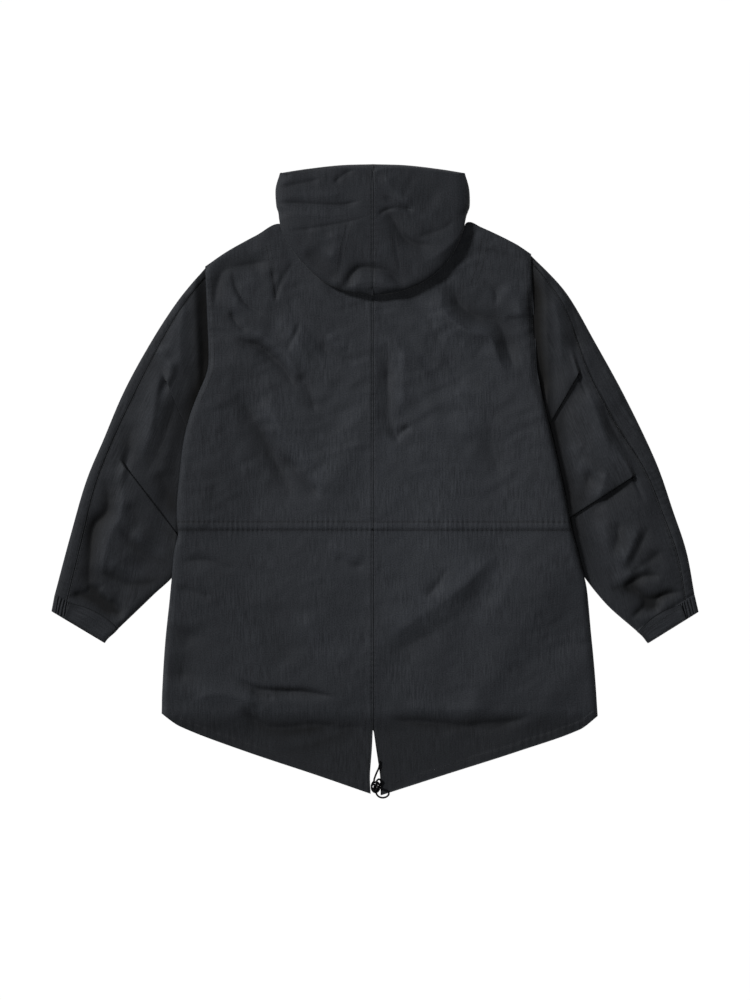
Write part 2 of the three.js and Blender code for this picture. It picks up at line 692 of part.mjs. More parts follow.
// A line of points down the sleeve's inner panel, the tucks included.
function innerPanelLine(shape, frame, share) {
  const line = [];
  const distance = (v) => mix(frame.seam(v) + 2 * SEAM_GAP, frame.width(v), share);
  const push = (v, along, rise) => {
    const s = distance(v);
    const here = frame.place(s, v);
    const above = Math.max(v - 0.1, 0);
    const below = Math.min(v + 0.1, LAST_RUNG);
    const down = frame.place(distance(below), below).sub(frame.place(distance(above), above)).normalize();
    const fromInner = frame.width(v) - s;
    const pressed = 1 - TUCK.pressed * smooth(TUCK.fullEnd, TUCK.fullEnd / 2, fromInner);
    const lifted = sleeveHeight(frame, s, v) + rise * pressed * rolled(fromInner, SLEEVE.edgeWidth);
    const settled = Math.max(lifted, SLEEVE_LOWEST);
    line.push(new THREE.Vector3(here.x + down.x * along, here.y + down.y * along, settled));
  };
  const still = { along: 0, rise: 0 };
  const tucks = shape.tucks.map((tuck) => tuckAt(tuck, distance(tuck.rung), frame.width(tuck.rung)));
  sleeveStretches(shape).forEach(({ from, to, shares }, k) => {
    const leave = k > 0 ? tucks[k - 1].at(-1) : still;
    const arrive = k < tucks.length ? tucks[k][0] : still;
    const length = frame.place(distance(from), from).distanceTo(frame.place(distance(to), to));
    const between = shares.filter((t) => (t > 0 || k === 0) && (t < 1 || k === tucks.length));
    between.forEach((t) => {
      const near = smooth(TUCK.fade, 0, t * length);
      const far = smooth(TUCK.fade, 0, (1 - t) * length);
      push(mix(from, to, t), leave.along * near + arrive.along * far, leave.rise * near + arrive.rise * far);
    });
    if (k < tucks.length) tucks[k].forEach((p) => push(to, p.along, p.rise));
  });
  return line;
}

function sleeveInner(shape) {
  const frame = sleeveFrame(shape);
  const shares = [0, 0.1, 0.2, 0.3, 0.42, 0.56, 0.7, 0.83, 0.93, 0.975, 1];
  const lines = shares.map((share) => innerPanelLine(shape, frame, share));
  const points = lines[0].map((_, i) => lines.map((line) => line[i]));
  return wall(points, CLOTH - 0.1);
}

// The outer panel goes from the seam round the outer fold and along the surface to the inner fold.
function sleeveOuter(shape) {
  const frame = sleeveFrame(shape);
  const turns = [90, 55, 25, 0, -25, -55, -90].map((a) => (a * Math.PI) / 180);
  const rungs = sleeveStretches(shape).flatMap(({ from, to, shares }) => shares.map((t) => mix(from, to, t)));
  const points = [...new Set(rungs)].map((v) => {
    const seam = frame.seam(v);
    const crest = Math.min(SLEEVE.edgeWidth, seam - 1.5);
    const half = sleeveHeight(frame, crest, v) / 2;
    const ring = [seam, mix(seam, crest, 0.5)].map((s) => ({ s, z: sleeveHeight(frame, s, v) }));
    turns.forEach((a) => ring.push({ s: crest * (1 - Math.cos(a)), z: half * (1 + Math.sin(a)) }));
    spread(crest, frame.width(v) - 3, 4)
      .slice(1)
      .forEach((s) => ring.push({ s, z: 0 }));
    return ring.map(({ s, z }) => {
      const here = frame.place(s, v);
      return new THREE.Vector3(here.x, here.y, z);
    });
  });
  return wall(points, CLOTH);
}

// The cuff's ring, as distances across its width and heights, with gathers near its outer end.
function cuffRing(width, height, gatherDepth) {
  const radius = height / 2;
  const ring = [];
  spread(-90, 90, 6).forEach((a) => {
    const turn = (a * Math.PI) / 180;
    ring.push({ s: radius * (1 - Math.cos(turn)), z: radius * (1 + Math.sin(turn)) });
  });
  const gatherEnd = radius + CUFF.gathers * CUFF.gatherPitch;
  const top = [
    ...spread(radius, gatherEnd, CUFF.gathers * 4 + 1).slice(1),
    ...spread(gatherEnd, width - radius, 5).slice(1, -1),
  ];
  const wave = (s) => gatherDepth * Math.sin(((s - radius) / CUFF.gatherPitch) * 2 * Math.PI);
  top.forEach((s) => ring.push({ s, z: height + (s < gatherEnd ? wave(s) : 0) }));
  spread(90, -90, 6).forEach((a) => {
    const turn = (a * Math.PI) / 180;
    ring.push({ s: width - radius * (1 - Math.cos(turn)), z: radius * (1 + Math.sin(turn)) });
  });
  spread(width - radius, radius, 8)
    .slice(1, -1)
    .forEach((s) => ring.push({ s, z: 0 }));
  return ring;
}

function cuffSections(shape) {
  const last = shape.rungs.at(-1);
  const start = {
    outer: new THREE.Vector2(last.outerX, last.outerY),
    inner: new THREE.Vector2(last.innerX, last.innerY),
  };
  const end = {
    outer: new THREE.Vector2(shape.cuffEnd.outerX, shape.cuffEnd.outerY),
    inner: new THREE.Vector2(shape.cuffEnd.innerX, shape.cuffEnd.innerY),
  };
  const away = end.outer.clone().add(end.inner).sub(start.outer).sub(start.inner).normalize();
  start.outer.addScaledVector(away, SEAM_GAP * 2);
  start.inner.addScaledVector(away, SEAM_GAP * 2);
  return (t) => ({
    outer: start.outer.clone().lerp(end.outer, t),
    inner: start.inner.clone().lerp(end.inner, t),
  });
}

function sectionPoint(section, s, z) {
  const width = section.outer.distanceTo(section.inner);
  const here = section.outer.clone().lerp(section.inner, s / width);
  return new THREE.Vector3(here.x, here.y, z);
}

function cuff(shape) {
  const sectionAt = cuffSections(shape);
  const rings = spread(0, 1, 3).map((t) => {
    const section = sectionAt(t);
    const width = section.outer.distanceTo(section.inner);
    const outer = cuffRing(width, CUFF.height, CUFF.gatherDepth).map((p) => sectionPoint(section, p.s, p.z));
    const inner = cuffRing(width - 2 * CUFF.wall, CUFF.height - 2 * CUFF.wall, 0).map((p) =>
      sectionPoint(section, p.s + CUFF.wall, p.z + CUFF.wall),
    );
    return { outer, inner };
  });
  return hollowTube(
    rings.map((ring) => ring.outer),
    rings.map((ring) => ring.inner),
  );
}

function cuffTab(shape) {
  const sectionAt = cuffSections(shape);
  const points = spread(0.06, 0.97, 4).map((t) => {
    const section = sectionAt(t);
    const width = section.outer.distanceTo(section.inner);
    const level = CUFF.height + SEAM_GAP + TAB.thickness;
    const middle = spread(TAB.plainFrom + 8, width - 6, 6);
    return [TAB.plainFrom, TAB.plainFrom + 2, ...middle, width - 3].map((s) => {
      const lift = CUFF.gatherDepth * smooth(12, 0, s - TAB.plainFrom);
      return sectionPoint(section, s, level + lift);
    });
  });
  return wall(points, TAB.thickness, 1);
}

// Half of the hood: each rung runs over the top from the centre seam, round the fold and back beneath.
function hoodHalf(shape) {
  const topHeight = through(HOOD_HEIGHT, "y", "z");
  const read = {};
  const numbered = HOOD_RUNGS.map((row) => ({
    ...row,
    edgeX: row.edgeX + (shape.side > 0 ? row.wider : 0),
    yoke: row.on === "yoke" ? 1 : 0,
  }));
  for (const column of ["edgeX", "edgeY"]) read[column] = byRow(numbered, column);
  const seamX = SEAM_X + shape.side * (SEAM_GAP / 2);
  const toWorld = (x, y, z) => new THREE.Vector3(seamX + shape.side * x, y, z);
  const points = numbered.map((row, i) => {
    const top = [0, 0.25, 0.5, 0.72];
    const rung = { x: read.edgeX(i), y: read.edgeY(i) };
    const reach = Math.hypot(rung.x, rung.y - row.spineY);
    const rolledOver = Math.min(HOOD.edgeWidth, 0.9 * reach) / reach;
    const edgeShares = [0.9, 0.6, 0.32, 0.12, 0.02].map((d) => 1 - d * rolledOver);
    const over = [...top.map((t) => t * edgeShares[0]), ...edgeShares];
    const path = over.map((t) => {
      const x = rung.x * t;
      const y = mix(row.spineY, rung.y, t);
      const side = 1 - 0.2 * (x / NECK_X) ** 2;
      const height = topHeight(y) * side;
      const fromEdge = Math.hypot(rung.x - x, rung.y - y);
      return toWorld(x, y, mix(row.edgeZ, height, rolled(fromEdge, HOOD.edgeWidth)));
    });
    path.push(toWorld(rung.x, rung.y, row.edgeZ));
    const underReach = Math.hypot(row.endX - rung.x, row.endY - rung.y);
    const rolledUnder = Math.min(HOOD.underWidth, 0.7 * underReach);
    const under = [0.06, 0.3, 0.65, 1].map((d) => (d * rolledUnder) / underReach);
    [...under, mix(under.at(-1), 1, 0.5), 1].forEach((t) => {
      const x = mix(rung.x, row.endX, t);
      const y = mix(rung.y, row.endY, t);
      const world = toWorld(x, y, 0);
      const rest = row.yoke ? backHeight(world.x, world.y) + LAYER_GAP : 0;
      const fromEdge = t * underReach;
      world.z = mix(row.edgeZ, rest, rolled(fromEdge, rolledUnder));
      path.push(world);
    });
    return path;
  });
  return wall(points, CLOTH, 1, keepSide(shape));
}

function cordTube(route) {
  const path = new THREE.CatmullRomCurve3(route.map(([x, y, z]) => new THREE.Vector3(x, y, z)));
  const section = new THREE.Shape();
  for (let i = 0; i < CORD.sides; i += 1) {
    const a = (i / CORD.sides) * 2 * Math.PI;
    const point = [CORD.radius * Math.cos(a), CORD.radius * Math.sin(a)];
    if (i === 0) section.moveTo(...point);
    else section.lineTo(...point);
  }
  const steps = Math.round(path.getLength() / (2.5 * CORD.radius));
  return new THREE.ExtrudeGeometry(section, { steps, extrudePath: path, bevelEnabled: false });
}

function knot() {
  const geometry = new THREE.IcosahedronGeometry(1, 2);
  geometry.scale(KNOT.width / 2, KNOT.length / 2, KNOT.height / 2);
  geometry.translate(KNOT.x, KNOT.y, KNOT.z);
  return geometry;
}

const shellCloth = new THREE.MeshStandardMaterial({ color: COLOURS.shell, roughness: 0.78, metalness: 0 });
const hoodCloth = new THREE.MeshStandardMaterial({ color: COLOURS.hood, roughness: 0.8, metalness: 0 });
const cordBraid = new THREE.MeshStandardMaterial({ color: COLOURS.cord, roughness: 0.9, metalness: 0 });

const parka = new THREE.Group();

function add(name, geometry, material) {
  const mesh = new THREE.Mesh(geometry, material);
  mesh.name = name;
  parka.add(mesh);
}

for (const [hand, shape] of Object.entries(SHAPES)) {
  add(`back_${hand}`, backPanel(shape), shellCloth);
  add(`front_${hand}`, frontPanel(shape), shellCloth);
  add(`sleeve_${hand}_inner`, sleeveInner(shape), shellCloth);
  add(`sleeve_${hand}_outer`, sleeveOuter(shape), shellCloth);
  add(`cuff_${hand}`, cuff(shape), shellCloth);
  add(`cuff_tab_${hand}`, cuffTab(shape), shellCloth);
  add(`hood_${hand}`, hoodHalf(shape), hoodCloth);
}
add("front_placket", placket(), shellCloth);
add("hem_cord_strand", cordTube(STRAND_ROUTE), cordBraid);
add("hem_cord_loop", cordTube(LOOP_ROUTE), cordBraid);
add("hem_knot", knot(), cordBraid);

export default parka;
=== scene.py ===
import math
import bpy
import numpy as np
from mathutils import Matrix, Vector
from mathutils.bvhtree import BVHTree


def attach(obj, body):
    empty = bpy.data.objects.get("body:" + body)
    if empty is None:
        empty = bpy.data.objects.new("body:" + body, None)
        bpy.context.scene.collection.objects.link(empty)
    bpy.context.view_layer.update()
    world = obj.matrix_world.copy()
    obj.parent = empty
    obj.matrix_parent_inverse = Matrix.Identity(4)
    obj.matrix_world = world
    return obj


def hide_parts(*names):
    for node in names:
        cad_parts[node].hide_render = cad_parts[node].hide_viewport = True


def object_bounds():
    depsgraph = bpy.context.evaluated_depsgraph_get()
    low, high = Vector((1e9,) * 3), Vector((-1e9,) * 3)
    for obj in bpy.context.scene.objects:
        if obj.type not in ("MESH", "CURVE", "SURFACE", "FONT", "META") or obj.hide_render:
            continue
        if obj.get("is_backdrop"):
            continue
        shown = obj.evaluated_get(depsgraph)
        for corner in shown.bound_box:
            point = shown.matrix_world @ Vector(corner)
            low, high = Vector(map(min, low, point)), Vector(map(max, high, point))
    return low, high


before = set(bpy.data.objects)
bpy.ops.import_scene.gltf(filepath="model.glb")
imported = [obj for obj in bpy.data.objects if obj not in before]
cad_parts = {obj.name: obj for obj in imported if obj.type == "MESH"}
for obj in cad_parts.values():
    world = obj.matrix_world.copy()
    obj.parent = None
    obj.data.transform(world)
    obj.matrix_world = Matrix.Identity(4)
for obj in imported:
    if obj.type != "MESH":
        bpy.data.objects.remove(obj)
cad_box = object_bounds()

STEP = 1.6
MIDDLE_COLUMN = 375
ZERO_ROW = 480
MM = 0.001

CLOTH = 1.2
SEAM_GAP = 0.3
LAYER_GAP = 0.5
SEAM_X = -3.2
NECK_X = 150
WAIST_TOP = -67
WAIST_BOTTOM = -80
WAIST_RAISE = 1.5
FRONT_HEM = -378
PLACKET = dict(width=60, top=355, bottom=-372, thickness=1.6)
EDGE = dict(width=12, armhole=6.5, over_sleeve=11.8, free=3.6, shoulder=6.4, hem=1.8)
SLEEVE = dict(height=9, head=5.2, edge=13, crown=4.5, under=6.2, under_width=42)
SLEEVE_LOWEST = 2 * CLOTH + LAYER_GAP
LAST_RUNG = 7
TUCK = dict(outside=1.6, inside=0.7, run=13, fade=48, flat_reach=7, flat_end=3, full_end=25, pressed=0.55)
CUFF = dict(height=8.8, wall=2.0, gathers=5, pitch=5.2, depth=0.9)
TAB = dict(thickness=1.6, start=27, rise=0.30)
HOOD = dict(edge=22, under=12)
CORD_RADIUS = 1.0
BRAID_RADIUS = 1.5
KNOT_RADIUS = 1.55
GRID = 2.6  # spacing of the cloth's points
VENT_TOP = -401
CREASE_RISE = dict(body=1.35, sleeve=1.15, hood=1.2)
# Painted shade: the sleeves darker than the middle of the back.
SLEEVE_SHADE = -0.28
# Painted shade: the cuffs darker than the middle of the back.
CUFF_SHADE = -0.20
# Painted shade on the tail, where it slopes down to the floor away from the light.
TAIL_SHADE = -0.28
SEAM_TONE = 0.38
# Painted shadow on the sleeve beside the back's edge: its width and how dark it is.
BACK_EDGE_SHADOW = dict(width=16, tone=0.42)

# Body tables: top (x, y), sides (y, x), vent (y, x), hem (x, y).
# Sleeve rungs: outer fold x, y, inner fold x, y, and how far in the seam lies.
# Tucks: rung, notch, corner, and the flap above it (1) or below it (-1).
SHAPES = {
    "left": dict(
        side=-1,
        armhole_y=342,
        hem_corner=-374,
        tip=-503,
        top=[(-3.2, 360), (-64, 366), (-112, 374), (-140, 389), (-153, 410.5), (-190, 392), (-237, 366), (-272, 342)],
        back_side=[
            (342, -272), (256, -268.5), (200, -266.5), (173, -269), (131, -286), (104, -296), (64, -306), (16, -312),
            (-40, -317), (-67, -317), (-85, -315), (-112, -321), (-163, -326), (-256, -336), (-336, -341), (-374, -342),
        ],
        front_side=[
            (342, -269.4), (200, -263.2), (150, -261), (115, -255), (85, -257), (60, -276), (40, -298), (16, -309),
            (-40, -316), (-85, -314.5), (-112, -320.5), (-163, -325.5), (-256, -335.5), (-374, -341.5),
        ],
        vent=[(-397, -3.4), (-432, -5), (-474, -8), (-503, -7)],
        hem=[(-7, -503), (-88, -475), (-216, -432), (-312, -395), (-342, -374)],
        rungs=[
            (-270, 342, -259, 90, 13), (-315, 288, -269, 72, 14), (-360, 219, -285, 43, 17), (-402, 142, -291, -16, 18),
            (-434, 67, -306, -101, 15), (-463, -3, -318, -147, 17), (-489, -93, -357, -186, 20), (-513, -183, -410, -237, 21),
        ],
        tucks=[(2, 44, 40, 1), (4, 36, 34, -1)],
        cuff_end=(-518.4, -210, -433, -261),
    ),
    "right": dict(
        side=1,
        armhole_y=362,
        hem_corner=-378,
        tip=-505.6,
        top=[(-3.2, 360), (58, 366), (106, 374), (134, 389), (147, 412.5), (170, 405), (224, 379), (250, 362)],
        back_side=[
            (362, 250), (272, 254.5), (200, 258.5), (173, 260), (144, 266), (96, 277), (64, 285), (16, 296),
            (-32, 306), (-64, 312), (-85, 317), (-128, 328), (-173, 339), (-240, 346), (-304, 352), (-378, 357),
        ],
        front_side=[
            (362, 247.4), (200, 255.5), (150, 258), (115, 252), (85, 254), (60, 270), (40, 284), (16, 293),
            (-32, 305), (-85, 316.5), (-128, 327.5), (-173, 338.5), (-240, 345.5), (-378, 356.5),
        ],
        vent=[(-397, -3), (-432, 2), (-474, 8), (-505.6, 9)],
        hem=[(9, -505.6), (104, -475), (232, -434), (328, -400), (357, -378)],
        rungs=[
            (248, 362, 262, 90, 9), (306, 300, 263, 82, 20), (354, 218, 267, 67, 36), (403, 128, 283, -3, 36),
            (450, 29, 299, -69, 22), (477, -48, 318, -128, 17), (499, -115, 366, -194, 16), (512, -184, 419, -242, 17),
        ],
        tucks=[(2, 47, 16, 1), (4, 37, 12, 1)],
        cuff_end=(518.4, -211, 438, -261),
    ),
}

# Where a panel's rows start on the centre seam and end on the side edge.
BACK_LEVELS = [
    (WAIST_TOP, WAIST_TOP), (WAIST_BOTTOM - 6, WAIST_BOTTOM - 6), (-150, -125), (-210, -175), (-270, -225),
    (-325, -270), (-362, -298), (-380, -312), (-396, -324), (-412, -336), (-440, -350), (-472, -363),
]
FRONT_LEVELS = [
    (WAIST_BOTTOM, WAIST_BOTTOM), (-135, -125), (-185, -175), (-225, -195), (-270, -240), (-325, -310), (-360, -350),
]
BACK_HEIGHT = [
    (420, 9), (340, 11.5), (200, 13), (0, 13), (-250, 10.5), (-368, 8.5), (-404, 2.6), (-440, 1.2), (-506, 1.2),
]
HOOD_HEIGHT = [(506, 19), (470, 25), (400, 31), (350, 33), (294, 30)]

# Hood rungs: spine y, edge x, y, end x, y, height of the fold, on the yoke (1) or the floor (0), and how
# much wider the right half is.
HOOD_RUNGS = [
    (492, 0, 505.6, 0, 476, 9, 0, 0),
    (486, 52, 504, 30, 471, 9, 0, 0),
    (479, 106, 498, 46, 460, 9, 0, -1),
    (472, 144, 492.1, 53, 448, 9, 0, -2),
    (471, 149, 491, 54, 446, 9, 0, -2),
    (469.5, 150, 488, 54.3, 443.5, 9, 0, -2),
    (460, 156, 466, 56, 428, 9, 0, -2),
    (448, 155, 440, 46, 404, 9.5, 0, 0),
    (436, 152, 429, 10, 374, 10.5, 0, 0),
    (425, 151, 424, 62, 377, 12, 0, -1),
    (413, 150, 416, 136, 399, 19, 1, -2),
    (396, 146, 398, 122, 383, 21, 1, -2),
    (375, 133, 373, 98, 370, 22, 1, 1),
    (352, 110, 344, 74, 362, 22, 1, 5),
    (331, 80, 317, 44, 356, 22, 1, 3),
    (316, 42, 301, 20, 352, 22, 1, 2),
    (307, 0, 294.4, 0, 350, 22, 1, 0),
]

STRAND_ROUTE = [
    (7.6, -450, 2.5), (7.4, -454, 2.5), (6.8, -459, 2.5), (5.0, -464, 3.0), (2.6, -469, 3.6), (0.6, -474, 3.9), (-1.0, -478.6, 4.2),
    (-1.8, -482.9, 4.4),
]
LOOP_ROUTE = [
    (1.4, -498.5, 3.2), (2.2, -502.4, 2.8), (5.2, -506.6, 2.2), (9.6, -508.8, 1.6), (14.2, -509.0, 1.5),
    (18.6, -507.4, 2.0), (21.8, -504.2, 2.6), (22.0, -500.4, 2.9), (18.6, -497.4, 2.9), (14.2, -495.6, 2.9),
    (8.7, -493.2, 3.6),
]
KNOT = dict(x=2.4, y=-490.2, z=4.0, width=13, length=16, height=7.4)

# Creases: width, height (troughs are negative), how much steeper the route's left side (-1) or its
# right side (1) is, and the route in columns and rows.
BODY_CREASES = [
    (10, -3.4, 0, [(277, 259), (245, 265), (224, 270), (217, 286), (213, 314)]),
    (18, 2.2, 0, [(262, 276), (246, 284), (238, 296), (236, 320)]),
    (4.5, -3.2, 0.4, [(232, 270), (235, 285), (242, 299), (250, 307), (266, 315)]),
    (3.6, -2.8, 0, [(229, 309), (233, 317), (238, 325), (248, 333)]),
    (4, -2.4, 0, [(272, 266), (274, 280), (276, 292), (275, 304)]),
    (4, -1.8, 0, [(295, 260), (287, 271), (280, 284), (275, 300)]),
    (8, -4.8, -0.7, [(230, 337), (246, 342), (260, 346), (271, 355), (284, 368), (297, 392)]),
    (9, 2.6, 0, [(244, 328), (268, 340), (288, 358), (302, 382)]),
    (10, -3.0, -0.4, [(296, 372), (306, 384), (312, 400), (316, 416)]),
    (16, 3.2, 0, [(272, 318), (290, 330), (302, 348), (312, 364)]),
    (4.5, -2.2, 0, [(300, 320), (296, 333), (290, 344), (286, 352)]),
    (9, -2.2, 0.5, [(320, 338), (326, 352), (340, 359), (356, 357)]),
    (10, 1.6, 0, [(330, 332), (336, 344), (350, 347)]),
    (15, -4.6, -0.6, [(238, 392), (254, 420), (267, 442), (279, 468), (294, 504)]),
    (16, 3.2, 0, [(262, 392), (278, 424), (296, 448), (322, 470)]),
    (8, -3.2, -0.5, [(280, 452), (296, 470), (310, 486), (322, 500)]),
    (12, 2.0, 0, [(300, 452), (318, 478), (334, 494)]),
    (16, 6.4, -0.5, [(440, 286), (445, 312), (468, 331), (490, 337), (498, 358), (508, 378)]),
    (16, -5.4, 0, [(454, 278), (458, 302), (476, 316), (498, 323), (507, 346), (516, 374)]),
    (14, 2.2, 0, [(500, 284), (516, 300), (522, 326)]),
    (5, -1.8, 0, [(482, 279), (496, 292), (495, 308)]),
    (13, -4.0, -0.8, [(386, 338), (388, 366), (388, 396), (391, 424), (400, 448)]),
    (12, 2.4, 0, [(404, 344), (403, 380), (402, 410)]),
    (5, -2.4, 0.5, [(395, 442), (402, 432), (412, 426)]),
    (6, -2.0, 0, [(472, 248), (490, 252), (527, 260)]),
    (4, -1.4, 0, [(505, 318), (516, 319), (525, 317)]),
    (24, 2.2, 0, [(452, 380), (468, 410), (462, 446)]),
    (22, -2.0, 0, [(500, 400), (490, 440), (502, 480)]),
    (26, -2.2, 0, [(222, 470), (212, 500), (214, 520)]),
    (26, 4.0, -0.5, [(500, 548), (470, 580), (445, 600), (412, 622), (384, 642)]),
    (20, -2.0, 0, [(492, 572), (478, 594), (456, 616), (434, 632), (410, 644), (384, 660)]),
    (8, -2.4, 0, [(448, 566), (438, 584), (424, 600)]),
    (24, 1.8, 0, [(520, 560), (500, 600), (476, 640)]),
    (9, -5.0, 0, [(384, 716), (410, 723), (450, 726), (490, 725), (518, 720), (536, 712)]),
    (18, 2.0, 0, [(400, 706), (450, 710), (500, 706)]),
    (6, -4.4, -0.6, [(234, 675), (252, 687), (278, 691), (306, 692), (338, 698)]),
    (5, -2.0, 0, [(250, 689), (262, 696), (276, 698)]),
    (14, 2.6, 0, [(190, 702), (214, 694), (240, 698), (262, 706)]),
    (10, -6.4, -0.4, [(238, 706), (254, 719), (268, 730), (300, 731), (340, 724)]),
    (9, -4.6, 0, [(274, 751), (300, 750), (334, 738), (364, 726)]),
    (12, 2.0, 0, [(280, 740), (310, 740), (340, 732)]),
    (26, -3.0, 0, [(190, 620), (184, 656), (182, 690)]),
    (12, 1.6, 0, [(168, 640), (166, 680), (166, 706)]),
    (8, -2.0, 0, [(180, 562), (206, 560), (222, 566), (238, 570)]),
    (8, -1.4, 0, [(176, 586), (192, 592), (214, 597)]),
    (6, -1.6, 0, [(334, 556), (350, 565), (366, 567)]),
    (12, 1.4, 0, [(326, 545), (346, 552), (366, 558)]),
    (10, -4.6, 0.4, [(531, 276), (534, 320), (537, 366), (541, 406)]),
    (22, 2.0, 0, [(300, 610), (320, 640), (352, 672)]),
    (26, -1.8, 0, [(270, 600), (280, 640), (300, 668)]),
]
LEFT_SLEEVE_CREASES = [
    (14, 3.4, 0, [(186, 296), (180, 340), (184, 380)]),
    (17, -5.0, 0, [(206, 276), (202, 320), (204, 362), (199, 400), (188, 432)]),
    (15, 4.2, 0, [(161, 368), (156, 400), (150, 432), (140, 468)]),
    (15, -3.2, 0, [(178, 392), (170, 420), (160, 446), (146, 478)]),
    (8, 3.0, 0, [(158, 345), (166, 358), (174, 372)]),
    (16, -4.4, 0, [(158, 468), (168, 494), (174, 520)]),
    (13, -7.2, 0.3, [(106, 474), (107, 510), (94, 526), (90, 556), (89, 584), (97, 606)]),
    (14, 4.0, 0, [(122, 480), (122, 512), (110, 536), (104, 560), (102, 580)]),
    (8, -3.4, 0, [(100, 570), (124, 583), (146, 583), (166, 575)]),
    (9, 2.8, 0, [(108, 560), (128, 571), (150, 573)]),
    (7, -3.0, 0, [(118, 526), (142, 553), (158, 560), (172, 563)]),
    (9, 2.2, 0, [(130, 526), (150, 546), (168, 552)]),
    (7, -2.6, 0, [(160, 526), (170, 533), (178, 541)]),
    (10, -8.0, 0, [(88, 584), (100, 600), (116, 612), (124, 620)]),
    (6, -5.0, 0, [(66, 597), (84, 596), (98, 604), (114, 618)]),
    (6, 2.0, 0, [(98, 588), (106, 594), (112, 604)]),
    (12, 1.8, 0, [(176, 322), (170, 346), (160, 362)]),
    (14, -2.4, 0, [(134, 420), (126, 450), (118, 470)]),
    (14, -1.8, 0, [(128, 500), (136, 520), (130, 540)]),
]
RIGHT_SLEEVE_CREASES = [
    (15, -6.0, 0, [(531, 262), (537, 300), (540, 350), (549, 412)]),
    (14, -3.2, 0.3, [(584, 376), (573, 396), (561, 420), (558, 446)]),
    (9, -2.8, 0.3, [(642, 479), (614, 494), (584, 518)]),
    (15, 3.0, 0, [(552, 290), (560, 330), (562, 372)]),
    (16, -3.2, 0, [(570, 296), (576, 330), (576, 358)]),
    (15, 5.0, -0.6, [(584, 386), (596, 410), (607, 440), (620, 456), (634, 475)]),
    (12, -3.4, 0, [(600, 398), (612, 428), (626, 450), (640, 466)]),
    (10, -3.4, 0, [(591, 468), (586, 486), (578, 506)]),
    (11, 2.8, 0, [(606, 470), (602, 488), (594, 502)]),
    (10, -3.2, 0, [(620, 520), (617, 540), (613, 560)]),
    (9, -2.8, 0, [(650, 524), (638, 550), (626, 574)]),
    (9, -2.8, 0, [(664, 550), (649, 561), (628, 578)]),
    (10, 3.0, -0.5, [(640, 526), (630, 550), (618, 574)]),
    (8, -5.0, 0, [(606, 590), (624, 587), (644, 576), (664, 577)]),
    (10, 3.4, 0, [(610, 579), (630, 575), (650, 566)]),
    (11, -8.0, 0, [(622, 580), (640, 594), (654, 606), (660, 614)]),
    (6, -5.0, 0, [(630, 620), (650, 603), (668, 594), (684, 592)]),
    (14, -4.0, 0, [(553, 416), (562, 460), (574, 510), (582, 540), (588, 578)]),
    (12, 2.2, 0, [(596, 516), (606, 546), (602, 574)]),
    (14, 2.4, 0, [(570, 440), (578, 470), (588, 456)]),
]
HOOD_CREASES = [
    (3.8, -2.6, 0, [(272, 204), (290, 203.5), (310, 204.5), (330, 205.5), (346, 205), (364, 200)]),
    (9, 1.4, 0, [(282, 196), (305, 196), (330, 196), (350, 192)]),
    (11, 1.6, 0, [(284, 214), (310, 216), (338, 216), (356, 212)]),
    (3.8, -1.9, 0, [(278, 188), (300, 184), (322, 179)]),
    (4.2, -2.2, 0, [(333, 185), (341, 177), (353, 169)]),
    (7, -2.6, 0, [(276, 178), (305, 171), (340, 166)]),
    (2.8, -1.3, 0, [(282, 233), (305, 230), (330, 226), (350, 222), (374, 215)]),
    (4, -2.6, 0.5, [(376, 219), (384, 212), (396, 208.5), (416, 211)]),
    (4, -1.8, -0.4, [(382, 196), (394, 202), (404, 207), (414, 215)]),
    (10, -4.2, -0.5, [(384, 206), (392, 218), (398, 229), (405, 239), (418, 245), (436, 246)]),
    (5.5, -1.6, 0, [(414, 239), (430, 234), (444, 229), (456, 219)]),
    (10, 2.0, 0, [(382, 172), (391, 188), (402, 199), (416, 205)]),
    (20, -1.8, 0, [(402, 180), (422, 192), (440, 206)]),
    (10, 2.2, 0, [(470, 222), (456, 240), (440, 254), (422, 264)]),
    (7, -5.2, 0, [(338, 296), (347, 284), (353, 274), (360, 268.5), (373, 269), (387, 272), (397, 280), (408, 292)]),
    (12, 2.6, 0, [(346, 294), (358, 285), (374, 283), (390, 286), (402, 294)]),
    (2.6, -0.8, 0, [(352, 216), (346, 234), (342, 258), (338, 286)]),
    (2.6, -0.8, 0, [(391, 226), (396, 248), (402, 284)]),
    (17, -3.2, 0, [(304, 248), (320, 266), (342, 282)]),
    (12, 2.4, 0, [(332, 230), (336, 248), (328, 264)]),
]


def smooth(start, end, value):
    t = np.clip((np.asarray(value, float) - start) / (end - start), 0, 1)
    return t * t * (3 - 2 * t)


def mix(a, b, t):
    return a + (b - a) * t


def through(pairs):
    """A smooth curve through pairs of key and value, read at any key."""
    pairs = sorted(pairs)
    keys = np.array([pair[0] for pair in pairs], float)
    values = np.array([pair[1] for pair in pairs], float)
    last = len(pairs) - 1
    index = np.arange(last + 1)
    before = np.maximum(index - 1, 0)
    after = np.minimum(index + 1, last)
    slopes = (values[after] - values[before]) / (keys[after] - keys[before])

    def read(at):
        place = np.clip(np.asarray(at, float), keys[0], keys[-1])
        i = np.clip(np.searchsorted(keys[1:], place, side="left"), 0, last - 1)
        span = keys[i + 1] - keys[i]
        t = (place - keys[i]) / span
        bend = span * (slopes[i] * t * (1 - t) ** 2 - slopes[i + 1] * t * t * (1 - t))
        return mix(values[i], values[i + 1], t * t * (3 - 2 * t)) + bend

    return read


def column(rows, number):
    """A smooth curve through one column of a table, read by row number."""
    return through([(i, row[number]) for i, row in enumerate(rows)])


def in_place(route):
    """Columns and rows of the view as x and y."""
    route = np.array(route, float)
    return np.column_stack([(route[:, 0] - MIDDLE_COLUMN) * STEP, (ZERO_ROW - route[:, 1]) * STEP])


